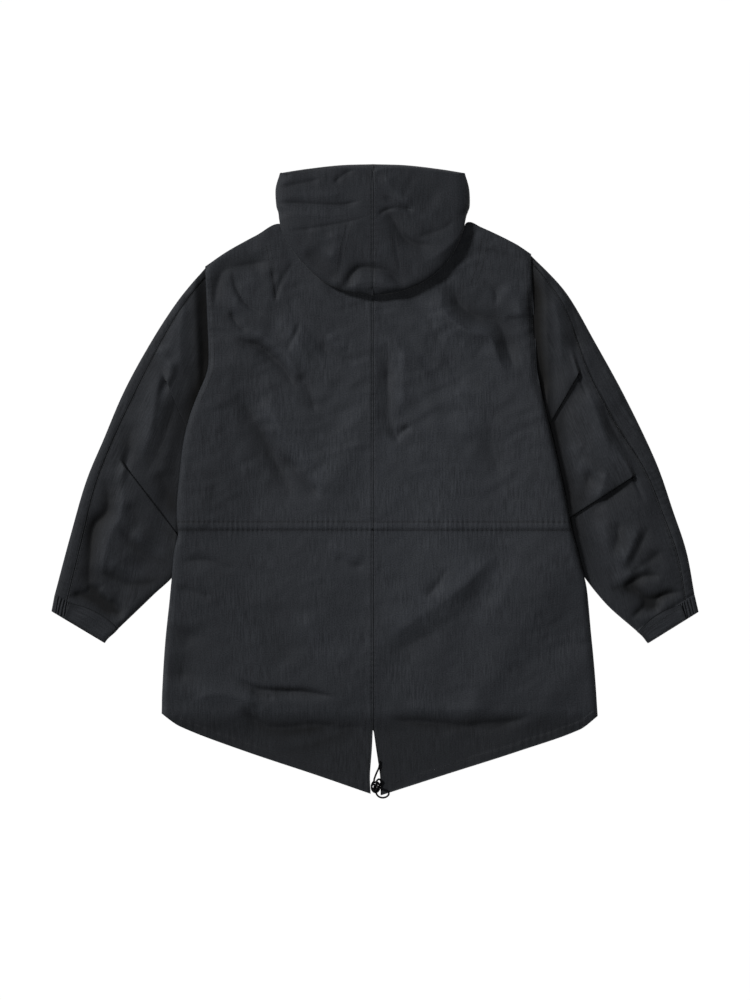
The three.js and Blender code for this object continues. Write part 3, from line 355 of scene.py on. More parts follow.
def curve_through(points, spacing):
    """A smooth route through points, with even spacing."""
    points = np.array(points, float)
    walked = np.r_[0, np.cumsum(np.linalg.norm(np.diff(points, axis=0), axis=1))]
    fine = np.linspace(0, walked[-1], max(8, int(walked[-1] / spacing * 4)))
    route = np.column_stack([through(list(zip(walked, points[:, k])))(fine) for k in range(points.shape[1])])
    length = np.r_[0, np.cumsum(np.linalg.norm(np.diff(route, axis=0), axis=1))]
    even = np.linspace(0, length[-1], max(2, int(round(length[-1] / spacing)) + 1))
    return np.column_stack([np.interp(even, length, route[:, k]) for k in range(points.shape[1])])


def nearest_on(route, x, y):
    """Signed distance to a route, positive to its right, and how far along it that is, from 0 to 1."""
    best = np.full(x.shape, 1e9)
    signed = np.zeros(x.shape)
    along = np.zeros(x.shape)
    steps = np.linalg.norm(np.diff(route, axis=0), axis=1)
    walked = np.r_[0, np.cumsum(steps)]
    for i, length in enumerate(steps):
        (ax, ay), (bx, by) = route[i], route[i + 1]
        t = np.clip(((x - ax) * (bx - ax) + (y - ay) * (by - ay)) / length**2, 0, 1)
        dx = x - mix(ax, bx, t)
        dy = y - mix(ay, by, t)
        distance = np.hypot(dx, dy)
        closer = distance < best
        best = np.where(closer, distance, best)
        side = np.sign((bx - ax) * -dy + (by - ay) * dx)
        signed = np.where(closer, distance * side, signed)
        along = np.where(closer, (walked[i] + t * length) / walked[-1], along)
    return signed, along


def crease_height(kind, creases, x, y):
    """Height that the listed creases add, with soft ends and an uneven depth."""
    total = np.zeros(x.shape)
    for number, (width, height, steep, route) in enumerate(creases):
        path = curve_through(in_place(route), 7)
        low = path.min(axis=0) - 3 * width
        high = path.max(axis=0) + 3 * width
        near = (x > low[0]) & (x < high[0]) & (y > low[1]) & (y < high[1])
        signed, along = nearest_on(path, x[near], y[near])
        ends = smooth(0, 0.24, along) * smooth(1, 0.76, along)
        spread = width * (0.65 + 0.35 * ends)
        sharper = 1 - 0.5 * steep * np.sign(signed)
        uneven = 1 + 0.22 * np.sin(along * 9.0 + number * 1.7) * ends
        total[near] += height * ends * uneven * np.exp(-np.abs(signed / (spread * sharper)) ** 1.3)
    return total * CREASE_RISE[kind]


def crease_shade(folds):
    """Painted shade: troughs are a little darker and ridges a little lighter, as light falls across the folds."""
    return 0.048 * np.clip(folds, -8, 3)


def slow_waves(x, y, seed, longest=120, shortest=26, count=16):
    """Unevenness of cloth that lies loosely, from slow waves at uneven angles."""
    chance = np.random.default_rng(seed)
    total = np.zeros(np.shape(x))
    for _ in range(count):
        wave = chance.uniform(shortest, longest)
        angle = chance.uniform(0, math.pi)
        phase = chance.uniform(0, 2 * math.pi)
        across = x * math.cos(angle) + y * math.sin(angle)
        bent = across + 0.22 * wave * np.sin((x * math.sin(angle) - y * math.cos(angle)) / wave * 2.1 + phase)
        total += np.sin(2 * math.pi * bent / wave + phase) * wave / longest
    return total / math.sqrt(count)


def facets(x, y, size, seed):
    """Cloth that lies in flat facets with soft edges between them, from about -1 to 1."""
    heights = np.random.default_rng(seed).uniform(-1, 1, (96, 96))
    lean = 0.7 + 1.9 * seed
    x, y = x * math.cos(lean) - y * math.sin(lean), x * math.sin(lean) + y * math.cos(lean)
    bent_x = x + 0.42 * size * (np.sin(y / size * 1.1 + seed) + 0.6 * np.sin((x + y) / size * 0.47))
    bent_y = y + 0.42 * size * (np.sin(x / size * 0.9 + 2 * seed) + 0.6 * np.sin((x - y) / size * 0.53))
    total = np.zeros(np.shape(x))
    turns = np.linspace(0, 2 * math.pi, 8)[:-1]
    for turn in turns:
        v = (bent_y + 0.13 * size * math.sin(turn)) / size * 1.15
        u = (bent_x + 0.13 * size * math.cos(turn)) / size - v / 2
        i, j = np.floor(u).astype(int), np.floor(v).astype(int)
        u, v = u - i, v - j
        h00, h10 = heights[i % 96, j % 96], heights[(i + 1) % 96, j % 96]
        h01, h11 = heights[i % 96, (j + 1) % 96], heights[(i + 1) % 96, (j + 1) % 96]
        total += np.where(u > v, h00 + (h10 - h00) * u + (h11 - h10) * v, h00 + (h11 - h01) * u + (h01 - h00) * v)
    return total / len(turns)


def lying_loose(x, y, seed, crumpled=1.0):
    """Height of the small unevenness that cloth keeps when it is laid down."""
    fine = 1.5 * facets(x, y, 47, seed + 1) + 0.7 * facets(x, y, 20, seed + 2) + 0.3 * slow_waves(x, y, seed + 3, 40, 12)
    return 2.6 * facets(x, y, 92, seed) + fine * crumpled


def puckers(along, distance, pitch, reach, height, seed):
    """Small ripples across a seam, fading away from it."""
    chance = np.random.default_rng(seed)
    phases = chance.uniform(0, 2 * math.pi, 3)
    wave = np.sin(2 * math.pi * along / pitch + phases[0] + 1.1 * np.sin(along / (pitch * 2.3) + phases[1]))
    patchy = 0.55 + 0.45 * np.sin(along / (pitch * 3.7) + phases[2])
    return height * wave * patchy * np.exp(-np.abs(distance) / reach)


def rolled(distance, width, other=None):
    """How far a rolled edge has risen, 0 at the edge and 1 once the cloth lies flat."""
    near = 1 - np.minimum(distance / width, 1)
    beyond = 0 if other is None else 1 - np.minimum(other / width, 1)
    return np.sqrt(np.maximum(0, 1 - near**2 - beyond**2))


def facing_out(points, facing, upright_seam):
    down = np.gradient(points, axis=0)
    across = np.gradient(points, axis=1)
    normals = np.cross(down, across)
    normals /= np.maximum(np.linalg.norm(normals, axis=2, keepdims=True), 1e-9)
    normals *= np.sign(normals[:, 1, 2].sum()) * facing
    if upright_seam:
        normals[:, 0] = (0, 0, facing)
    return normals


def make_object(name, vertices, faces, uvs=None, tone=None):
    mesh = bpy.data.meshes.new(name)
    mesh.from_pydata((vertices * MM).tolist(), [], faces.tolist())
    mesh.polygons.foreach_set("use_smooth", np.ones(len(faces), bool))
    if uvs is not None:
        corners = np.zeros(len(mesh.loops), int)
        mesh.loops.foreach_get("vertex_index", corners)
        layer = mesh.uv_layers.new(name="grain")
        layer.data.foreach_set("uv", (uvs[corners] * MM).ravel())
    if tone is not None:
        layer = mesh.attributes.new("tone", "FLOAT", "POINT")
        layer.data.foreach_set("value", tone)
    mesh.update()
    piece = bpy.data.objects.new(name, mesh)
    bpy.context.scene.collection.objects.link(piece)
    return piece


def grid_faces(index, flip):
    a, b = index[:-1, :-1].ravel(), index[1:, :-1].ravel()
    c, d = index[1:, 1:].ravel(), index[:-1, 1:].ravel()
    return np.column_stack([a, d, c, b] if flip else [a, b, c, d])


def cloth_wall(name, points, thickness, facing=1, keep=None, grain=None, tone=None, upright_seam=True):
    """A closed wall of cloth whose outer face is a grid of points."""
    rows, columns = points.shape[:2]
    normals = facing_out(points, facing, upright_seam)
    inner = points - normals * thickness
    if keep is not None:
        inner = keep(inner)
    outer_index = np.arange(rows * columns).reshape(rows, columns)
    inner_index = outer_index + rows * columns
    turn = np.cross(points[1, 0] - points[0, 0], points[0, 1] - points[0, 0])
    flip = np.dot(turn, normals[0, 1]) < 0
    rim_outer = np.r_[outer_index[0, :-1], outer_index[:-1, -1], outer_index[-1, :0:-1], outer_index[:0:-1, 0]]
    rim_inner = rim_outer + rows * columns
    rim = [rim_outer, np.roll(rim_outer, -1), np.roll(rim_inner, -1), rim_inner]
    faces = np.vstack([
        grid_faces(outer_index, flip),
        grid_faces(inner_index, not flip),
        np.column_stack(rim[::-1] if not flip else rim),
    ])
    grain = points[..., :2] if grain is None else grain
    shade = np.zeros((rows, columns)) if tone is None else tone
    vertices = np.vstack([points.reshape(-1, 3), inner.reshape(-1, 3)])
    uvs = np.vstack([grain.reshape(-1, 2)] * 2)
    piece = make_object(name, vertices, faces, uvs, np.tile(shade.ravel(), 2))
    piece["cut_area"] = grid_area(points)
    return piece


def grid_area(points):
    """Area of a grid's cloth in square metres."""
    a = points[1:, :-1] - points[:-1, :-1]
    b = points[:-1, 1:] - points[:-1, :-1]
    c = points[1:, :-1] - points[1:, 1:]
    d = points[:-1, 1:] - points[1:, 1:]
    doubled = np.linalg.norm(np.cross(a, b), axis=2) + np.linalg.norm(np.cross(c, d), axis=2)
    return float(doubled.sum() / 2 * MM * MM)


back_middle = through(BACK_HEIGHT)


def plain_back_height(x, y):
    over_sleeve = smooth(180, 285, np.abs(x)) * smooth(-250, -140, y) * smooth(230, 120, y)
    channel = smooth(WAIST_BOTTOM - 4, WAIST_BOTTOM, y) * smooth(WAIST_TOP + 4, WAIST_TOP, y)
    return back_middle(y) + 6.5 * over_sleeve + WAIST_RAISE * channel


def side_seam_height(y):
    armhole = mix(EDGE["over_sleeve"], EDGE["armhole"], smooth(150, 210, y))
    skirt = mix(EDGE["free"], armhole, smooth(-205, -165, y))
    return mix(EDGE["hem"], skirt, smooth(-374, -340, y))


EDGE_STEPS = np.array([0, 0.3, 0.9, 1.9, 3.3, 5.1, 7.2])


def body_grid(shape, side_table, levels, centre_at, hem_at, inset, grid):
    """Places of one body panel's points, with their distances from its side and top edges."""
    table = [(shape["top"][0][1], shape["armhole_y"]), *levels]
    table = np.array(table, float)
    steps = np.abs(np.diff(table, axis=0)).mean(axis=1)
    walked = np.r_[0, np.cumsum(steps)]
    rows = np.r_[EDGE_STEPS, np.linspace(9.6, walked[-1], int(walked[-1] / grid))]
    centre = np.interp(rows, walked, table[:, 0])[:, None]
    side = np.interp(rows, walked, table[:, 1])[:, None]
    centre_x = centre_at(centre)
    side_x = through(side_table)(side)
    width = np.abs(side_x - centre_x)
    inner = np.linspace(0, 1, int(width.mean() / grid))[None, :]
    distance = np.hstack([inner * (width - 9.6), width - EDGE_STEPS[None, ::-1]])
    u = distance / width
    x = mix(centre_x, side_x, u)
    top_at = through(shape["top"])
    corner_x = shape["top"][-1][0]
    bow = top_at(mix(SEAM_X, corner_x, u)) - mix(shape["top"][0][1], shape["armhole_y"], u) - inset
    y = mix(centre, side, u) + smooth(WAIST_TOP, shape["top"][0][1], centre) * bow + hem_at(x, u, centre)
    from_top = np.where(np.abs(x) > NECK_X - 8, np.maximum(top_at(x) - y, 0), 1e6)
    return x, y, width - distance, from_top


def keep_side(shape, gap=SEAM_GAP / 2):
    limit = SEAM_X + shape["side"] * gap

    def keep(points):
        points = points.copy()
        points[..., 0] = np.minimum(points[..., 0], limit) if shape["side"] < 0 else np.maximum(points[..., 0], limit)
        points[..., 2] = np.maximum(points[..., 2], 0)
        return points

    return keep


def back_panel(hand, shape):
    vent_at = through(shape["vent"])
    hem_curve = through(shape["hem"])
    levels = [*BACK_LEVELS, (shape["tip"], shape["hem_corner"])]

    def centre_at(y):
        return np.where(y > VENT_TOP, SEAM_X, vent_at(y))

    def hem_at(x, u, centre):
        straight = mix(shape["tip"], shape["hem_corner"], u)
        return (hem_curve(x) - straight) * smooth(-150, shape["tip"], centre)

    x, y, from_side, from_top = body_grid(shape, shape["back_side"], levels, centre_at, hem_at, 0, GRID)
    from_centre = np.abs(x - centre_at(y))
    from_hem = np.maximum(y - hem_curve(x), 0) * 0.94
    loose = smooth(-455, -330, y)
    folds = crease_height("body", BODY_CREASES, x, y) * mix(0.6, 1, loose)
    crumpled = mix(0.55, 1.2, smooth(-70, 60, y))
    height = plain_back_height(x, y) + folds + lying_loose(x, y, 11, crumpled) * mix(0.3, 1, loose)
    height += puckers(y, from_centre, 9, 7, 0.45, 21) - 0.9 * np.exp(-((from_centre / 1.6) ** 2))
    height += 0.5 * np.exp(-(((from_centre - 5) / 4) ** 2))
    # Painted shade: the waist puckers lighter on their ridges and darker in their dips.
    lines, pucker_shade = 0, 0
    for level, seed in ((WAIST_TOP, 31), (WAIST_BOTTOM, 32)):
        line = np.exp(-(((y - level) / 2.0) ** 2))
        pinched = puckers(x, y - level, 8, 8, 0.9, seed)
        height += pinched - 1.3 * line
        pucker_shade = pucker_shade + 0.24 * pinched
        lines = lines + line
    height += puckers(y, from_side, 11, 12, 0.5, 41) * smooth(90, 130, y)
    hem_band = smooth(13.5, 12.5, from_hem)
    height += hem_band * 0.7 + puckers(x, from_hem - 13, 12, 9, 0.5, 51) * smooth(40, 10, from_hem)
    low = np.where(from_top < from_side, EDGE["shoulder"], side_seam_height(y))
    rise = rolled(from_side, EDGE["width"], from_top)
    height = np.maximum(height, CLOTH + 0.2 * (1 + slow_waves(x, y, 13, 60, 20)) * smooth(0, 14, from_hem))
    z = np.maximum(mix(np.minimum(low, height), height, rise), CLOTH)
    # Painted light: lighter towards the middle of the back and darker towards its edges, as under a lamp over the
    # middle.
    painted_light_pool = np.exp(-(((x - 40) / 200) ** 2) - ((y - 20) / 300) ** 2)
    tone = 0.20 * painted_light_pool - 0.14 + crease_shade(folds) + pucker_shade + TAIL_SHADE * smooth(-366, -398, y)
    tone -= SEAM_TONE * (np.minimum(lines, 1) + np.exp(-((from_centre / 1.3) ** 2)) * (y > VENT_TOP))
    points = np.stack([x, y, z], axis=2)
    return cloth_wall(f"back_{hand}_cloth", points, CLOTH, 1, keep_side(shape, 0), tone=tone)


def front_panel(hand, shape):
    inner_line = through([(row[3], row[2]) for row in shape["rungs"]])
    levels = [*FRONT_LEVELS, (FRONT_HEM, shape["hem_corner"] + 3)]
    seam_x = SEAM_X + shape["side"] * SEAM_GAP / 2

    def centre_at(y):
        return np.full(y.shape, seam_x)

    def hem_at(x, u, centre):
        return 0

    x, y, from_side, from_top = body_grid(shape, shape["front_side"], levels, centre_at, hem_at, 0.6, 3 * GRID)
    edge = np.abs(inner_line(y))
    lift = 9.9 * smooth(edge - 34, edge - 2, np.abs(x)) * smooth(150, 96, y) * smooth(-200, -184, y)
    over_placket = (PLACKET["thickness"] + SEAM_GAP) * smooth(46, 34, np.abs(x - SEAM_X))
    low = np.maximum(lift, over_placket)
    side = side_seam_height(y) * smooth(150, 110, y)
    seam = np.where(from_top < from_side, EDGE["shoulder"], side) - CLOTH - 2 * LAYER_GAP
    z = mix(np.maximum(seam, low), low, rolled(from_side, EDGE["width"] / 2, from_top))
    points = np.stack([x, y, z], axis=2)
    return cloth_wall(f"front_{hand}_cloth", points, CLOTH, -1, keep_side(shape))


def placket_flap():
    """The storm flap under the front closing, with a turned and stitched edge."""
    half = PLACKET["width"] / 2
    x = np.r_[-half, -half + 0.5, np.linspace(-half + 2, half - 2, 24), half - 0.5, half] + SEAM_X
    y = np.linspace(PLACKET["top"], PLACKET["bottom"], 180)
    x, y = np.meshgrid(x, y)
    from_edge = half - np.abs(x - SEAM_X)
    z = 0.45 * smooth(1.2, 0, from_edge) + 0.18 * np.exp(-(((from_edge - 7) / 1.2) ** 2))
    points = np.stack([x, y, z], axis=2)
    return cloth_wall("front_placket_cloth", points, PLACKET["thickness"] - 0.1, -1, upright_seam=False)


def sleeve_frame(shape):
    read = [column(shape["rungs"], k) for k in range(5)]

    def width(v):
        return np.hypot(read[2](v) - read[0](v), read[3](v) - read[1](v))

    def place(s, v):
        t = s / width(v)
        return mix(read[0](v), read[2](v), t), mix(read[1](v), read[3](v), t)

    return width, place, read[4]


SLEEVE_CREASES = {"left": LEFT_SLEEVE_CREASES, "right": RIGHT_SLEEVE_CREASES}


def sleeve_shade(hand, x, y):
    """Painted shade: the sleeve darker all over and in its troughs, with a painted shadow where it comes out from
    beneath the back.
    """
    shape = SHAPES[hand]
    folds = crease_height("sleeve", SLEEVE_CREASES[hand], x, y)
    from_back = shape["side"] * (x - through(shape["back_side"])(y))
    beneath = np.exp(-((np.maximum(from_back, 0) / BACK_EDGE_SHADOW["width"]) ** 2)) * mix(0.4, 1, smooth(20, 110, y))
    return SLEEVE_SHADE + 1.4 * crease_shade(folds) - BACK_EDGE_SHADOW["tone"] * beneath


def sleeve_height(hand, sleeve, s, v, x, y):
    """Height of the sleeve's upper face, before its tucks."""
    width, place, _ = sleeve
    wide = width(v)
    here = place(s, v)
    head = place(s / wide * width(0), np.zeros(np.shape(v)))
    from_armhole = np.hypot(here[0] - head[0], here[1] - head[1])
    across = np.minimum(s / (wide - SLEEVE["under_width"]), 1)
    bulge = SLEEVE["crown"] * np.sin(math.pi * across) * smooth(LAST_RUNG, LAST_RUNG - 1, v)
    creases = SLEEVE_CREASES[hand]
    folds = crease_height("sleeve", creases, x, y) + lying_loose(x, y, 61) * 0.8
    loose = SLEEVE["height"] + bulge + folds * smooth(LAST_RUNG, LAST_RUNG - 0.12, v)
    above_cuff = smooth(LAST_RUNG - 0.4, LAST_RUNG - 1.6, v)
    under = smooth(wide - 80, wide - SLEEVE["under_width"], s) * above_cuff
    tucked = mix(loose, SLEEVE["under"], under)
    beside_body = 2.0 * np.exp(-(((from_armhole - 30) / 13) ** 2))
    height = mix(SLEEVE["head"] - 0.4, tucked + beside_body, smooth(0, 32, from_armhole))
    height += puckers(y, from_armhole, 12, 14, 0.6, 63) * smooth(3, 12, from_armhole)
    return mix(SLEEVE_LOWEST, np.maximum(height, SLEEVE_LOWEST), rolled(wide - s, SLEEVE["edge"]))


def tuck_profile(turn, run, steps=9):
    """The points of a tuck seen from the side: a turn, a straight run back and a turn the other way."""
    first = np.linspace(0, turn, steps + 1)
    along = TUCK["outside"] * np.sin(first)
    down = TUCK["outside"] * (1 - np.cos(first))
    end_along = along[-1] + run * math.cos(turn)
    end_down = down[-1] + run * math.sin(turn)
    second = np.linspace(turn, 0, steps + 1)
    between = np.linspace(0, 1, 6)[1:-1]
    return (
        np.r_[along, mix(along[-1], end_along, between), end_along + TUCK["inside"] * (math.sin(turn) - np.sin(second))],
        np.r_[down, mix(down[-1], end_down, between), end_down + TUCK["inside"] * (np.cos(second) - math.cos(turn))],
    )


def tuck_at(tuck, s, wide):
    """A tuck's profile at each distance from the outer fold, one column for each."""
    _, notch, corner, flap = tuck
    depths = smooth(notch, notch + corner, s) * smooth(wide - TUCK["flat_end"], wide - TUCK["full_end"], s)
    alongs, rises = [], []
    for depth in depths:
        along, down = tuck_profile(math.pi * depth, TUCK["run"] * depth)
        lead = TUCK["outside"] * math.sin(min(math.pi * depth, math.pi / 2))
        flat = np.linspace(-TUCK["flat_reach"], TUCK["flat_reach"], len(along))
        along = mix(flat, along - lead, depth)
        rise = down[-1] / 2 - down
        alongs.append(along if flap > 0 else -along[::-1])
        rises.append(rise if flap > 0 else rise[::-1])
    return np.array(alongs).T, np.array(rises).T


def sleeve_inner(hand, shape):
    sleeve = sleeve_frame(shape)
    width, place, seam = sleeve
    shares = np.r_[np.linspace(0, 0.93, 62), 1 - 0.07 * (1 - np.linspace(0, 1, 11)[1:]) ** 1.6]
    tucks = shape["tucks"]

    def distance(v):
        start = seam(v) + 2 * SEAM_GAP
        return start + (width(v) - start) * shares

    profiles = [tuck_at(tuck, distance(float(tuck[0])), width(float(tuck[0]))) for tuck in tucks]
    still = (np.zeros(len(shares)), np.zeros(len(shares)))
    stops = [0, *[tuck[0] for tuck in tucks], LAST_RUNG]
    vs, alongs, rises = [], [], []
    for k, (start, end) in enumerate(zip(stops[:-1], stops[1:])):
        leave = (profiles[k - 1][0][-1], profiles[k - 1][1][-1]) if k else still
        arrive = (profiles[k][0][0], profiles[k][1][0]) if k < len(tucks) else still
        a = np.stack(place(distance(float(start)), float(start)))
        b = np.stack(place(distance(float(end)), float(end)))
        length = np.hypot(*(b - a))
        share = np.linspace(0, 1, int(length.mean() / GRID))
        share = share[(1 if k else 0) : (-1 if k < len(tucks) else None)]
        for t in share:
            near = smooth(TUCK["fade"], 0, t * length)
            far = smooth(TUCK["fade"], 0, (1 - t) * length)
            vs.append(mix(start, end, t))
            alongs.append(leave[0] * near + arrive[0] * far)
            rises.append(leave[1] * near + arrive[1] * far)
        if k < len(tucks):
            vs.extend([float(end)] * len(profiles[k][0]))
            alongs.extend(profiles[k][0])
            rises.extend(profiles[k][1])
    v = np.array(vs)[:, None] * np.ones(len(shares))
    alongs, rises = np.array(alongs), np.array(rises)

    def at(v):
        start = seam(v) + 2 * SEAM_GAP
        s = start + (width(v) - start) * shares
        return s, *place(s, v)

    s, x, y = at(v)
    _, ax, ay = at(np.maximum(v - 0.1, 0))
    _, bx, by = at(np.minimum(v + 0.1, LAST_RUNG))
    run = np.hypot(bx - ax, by - ay)
    x = x + (bx - ax) / run * alongs
    y = y + (by - ay) / run * alongs
    from_inner = width(v) - s
    pressed = 1 - TUCK["pressed"] * smooth(TUCK["full_end"], TUCK["full_end"] / 2, from_inner)
    z = sleeve_height(hand, sleeve, s, v, x, y) + rises * pressed * rolled(from_inner, SLEEVE["edge"])
    from_seam = s - seam(v)
    z = z - 0.7 * np.exp(-((from_seam / 1.8) ** 2)) + puckers(y, from_seam, 10, 8, 0.45, 71) * smooth(0, 3, from_seam)
    z = np.maximum(z, SLEEVE_LOWEST)
    walked = np.cumsum(np.r_[np.zeros((1, len(shares))), np.hypot(np.diff(x, axis=0), np.diff(y, axis=0))], axis=0)
    grain = np.stack([s, -walked], axis=2)
    points = np.stack([x, y, z], axis=2)
    tone = sleeve_shade(hand, x, y) - SEAM_TONE * np.exp(-((from_seam / 1.4) ** 2))
    return cloth_wall(f"sleeve_{hand}_inner_cloth", points, CLOTH - 0.1, grain=grain, tone=tone)


def sleeve_outer(hand, shape):
    """From the seam round the outer fold and along the surface to the inner fold."""
    sleeve = sleeve_frame(shape)
    width, place, seam = sleeve
    v = np.linspace(0, LAST_RUNG, 236)[:, None]
    edge = seam(v)
    crest = np.minimum(SLEEVE["edge"], edge - 1.5)

    def top(s):
        x, y = place(s, v * np.ones(s.shape))
        height = sleeve_height(hand, sleeve, s, v * np.ones(s.shape), x, y)
        from_seam = edge - s
        height -= 0.7 * np.exp(-((from_seam / 1.8) ** 2))
        return height + puckers(y, from_seam, 10, 8, 0.45, 72) * smooth(0, 3, from_seam)

    over = mix(edge, crest, np.linspace(0, 1, 7)[None, :-1])
    half = top(crest) / 2
    turns = np.radians(np.linspace(90, -90, 22))[None, :]
    round_s = crest * (1 - np.cos(turns))
    round_z = half * (1 + np.sin(turns))
    floor = mix(crest, width(v) - 3, np.linspace(0, 1, 22)[None, 1:])
    s = np.hstack([over, round_s, floor])
    z = np.hstack([top(over), round_z, np.zeros(floor.shape)])
    x, y = place(s, v * np.ones(s.shape))
    length = np.hstack([-over + edge, edge - crest + half * (math.pi / 2 - turns), edge + floor])
    walked = np.cumsum(np.r_[np.zeros((1, s.shape[1])), np.hypot(np.diff(x, axis=0), np.diff(y, axis=0))], axis=0)
    grain = np.stack([length, -walked], axis=2)
    points = np.stack([x, y, z], axis=2)
    return cloth_wall(f"sleeve_{hand}_outer_cloth", points, CLOTH, grain=grain, tone=sleeve_shade(hand, x, y))


def cuff_section(shape):
    last = shape["rungs"][-1]
    start = np.array([last[:2], last[2:4]], float)
    end = np.array([shape["cuff_end"][:2], shape["cuff_end"][2:]], float)
    away = end.sum(axis=0) - start.sum(axis=0)
    start = start + away / np.linalg.norm(away) * 2 * SEAM_GAP

    def at(t):
        section = mix(start, end, t)
        wide = np.linalg.norm(section[1] - section[0])
        return section, wide

    return at


def cuff_ring(wide, height, depth, squeeze):
    """The cuff's ring as distances across it and heights, with its gathers near the outer fold."""
    radius = height / 2
    turn = np.radians(np.linspace(-90, 90, 12))
    gathered = radius + CUFF["gathers"] * CUFF["pitch"]
    s = [radius * (1 - np.cos(turn)), np.linspace(radius, gathered, 61)[1:], np.linspace(gathered, wide - radius, 30)[1:-1]]
    top = np.r_[s[1], s[2]]
    pitch = CUFF["pitch"] * (1 + 0.12 * np.sin(top / 7.0))
    wave = np.sin((top - radius) / pitch * 2 * math.pi + squeeze)
    fade = smooth(gathered + 8, gathered - 8, top) * smooth(radius, radius + 2, top)
    z = [radius * (1 + np.sin(turn)), height + depth * fade * (np.abs(wave) ** 0.8 * np.sign(wave))]
    back = np.radians(np.linspace(90, -90, 12))
    s.append(wide - radius * (1 - np.cos(back)))
    z.append(radius * (1 + np.sin(back)))
    s.append(np.linspace(wide - radius, radius, 40)[1:-1])
    z.append(np.zeros(38))
    return np.concatenate(s), np.concatenate(z)


def cuff(hand, shape):
    at = cuff_section(shape)
    rings = {"outer": [], "inner": []}
    for t, inset in [(-0.14, 1.5), (-0.03, 1.5), *[(t, 0) for t in np.linspace(0, 1, 15)]]:
        section, wide = at(t)
        pinch = 1 - 0.25 * math.sin(math.pi * t)
        for layer, wall in (("outer", 0), ("inner", CUFF["wall"] - inset)):
            less = wall + inset
            depth = CUFF["depth"] * pinch if layer == "outer" and not inset else 0
            s, z = cuff_ring(wide - 2 * less, CUFF["height"] - 2 * less, depth, 0.5 * math.sin(3 * t))
            s, z = s + less, z + less
            share = (s / wide + 0.012 * np.sin(s / 2.9) * max(t, 0))[:, None]
            here = section[0] + (section[1] - section[0]) * share
            rings[layer].append(np.column_stack([here, z]))
    outer, inner = np.array(rings["outer"]), np.array(rings["inner"])
    rows, columns = outer.shape[:2]
    index = np.arange(rows * columns).reshape(rows, columns)
    index = np.column_stack([index, index[:, 0]])
    centre = outer.mean(axis=(0, 1))
    probe = np.cross(outer[1, 30] - outer[0, 30], outer[0, 31] - outer[0, 30])
    flip = np.dot(probe, outer[0, 30] - centre) < 0
    first = np.column_stack([index[0, :-1], index[0, 1:], index[0, 1:] + rows * columns, index[0, :-1] + rows * columns])
    last = np.column_stack([index[-1, 1:], index[-1, :-1], index[-1, :-1] + rows * columns, index[-1, 1:] + rows * columns])
    ends = np.vstack([first, last])
    ends = ends if flip else ends[:, ::-1]
    faces = np.vstack([grid_faces(index, flip), grid_faces(index + rows * columns, not flip), ends])
    along = np.linspace(0, 34, rows)[:, None] * np.ones(columns)
    around = np.arange(columns)[None, :] * 2.2 * np.ones((rows, 1))
    grain = np.stack([along, around], axis=2).reshape(-1, 2)
    vertices = np.vstack([outer.reshape(-1, 3), inner.reshape(-1, 3)])
    # Painted shade: darker in the dips between the cuff's gathers.
    dip = (outer[..., 2] - CUFF["height"]) / CUFF["depth"]
    between = np.where(dip > -1.02, np.clip(dip, -1, 0), 0)
    tone = np.tile((CUFF_SHADE + 0.45 * between).ravel(), 2)
    piece = make_object(f"cuff_{hand}_cloth", vertices, faces, np.vstack([grain, grain]), tone)
    closed = np.concatenate([outer, outer[:, :1]], axis=1)
    piece["cut_area"] = grid_area(closed)
    return piece


def cuff_tab(hand, shape):
    at = cuff_section(shape)
    rows, tones = [], []
    (outer, inner), wide = at(0)
    (outer_end, inner_end), _ = at(1)
    first, last = TAB["start"], wide - 3
    s = np.r_[first, first + 0.4, np.linspace(first + 1.4, last - 1.4, 40), last - 0.4, last]
    upper = 0.06 - TAB["rise"] * np.sin(math.pi * np.clip((s - first) / (last - first), 0, 1)) ** 0.8
    for down in np.linspace(0, 1, 18):
        t = mix(upper, 0.97, down)[:, None]
        from_edge = np.minimum.reduce([s - first, last - s, (t[:, 0] - upper) * 33, (0.97 - t[:, 0]) * 33])
        level = CUFF["height"] + 0.7 + TAB["thickness"] + CUFF["depth"] * smooth(12, 0, s - first)
        level = level - 0.5 * smooth(1.2, 0, from_edge) - 0.3 * np.exp(-(((from_edge - 3) / 0.9) ** 2))
        level = level + 0.5 * np.sin(s / 9 + down * 2) * smooth(2, 8, from_edge)
        here = mix(mix(outer, outer_end, t), mix(inner, inner_end, t), (s / wide)[:, None])
        rows.append(np.column_stack([here, level]))
        # Painted shade along the tab's edge and in the groove of its stitched line.
        edges = np.exp(-((from_edge / 0.9) ** 2)) + 0.6 * np.exp(-(((from_edge - 3) / 1.1) ** 2))
        tones.append(CUFF_SHADE - 0.4 * edges)
    points = np.array(rows)
    along = np.linspace(0, 34, len(rows))[:, None] * np.ones(points.shape[1])
    grain = np.stack([along, points[..., 0] * 1.1], axis=2)
    return cloth_wall(f"cuff_tab_{hand}_cloth", points, TAB["thickness"] - 0.6, grain=grain, tone=np.array(tones), upright_seam=False)


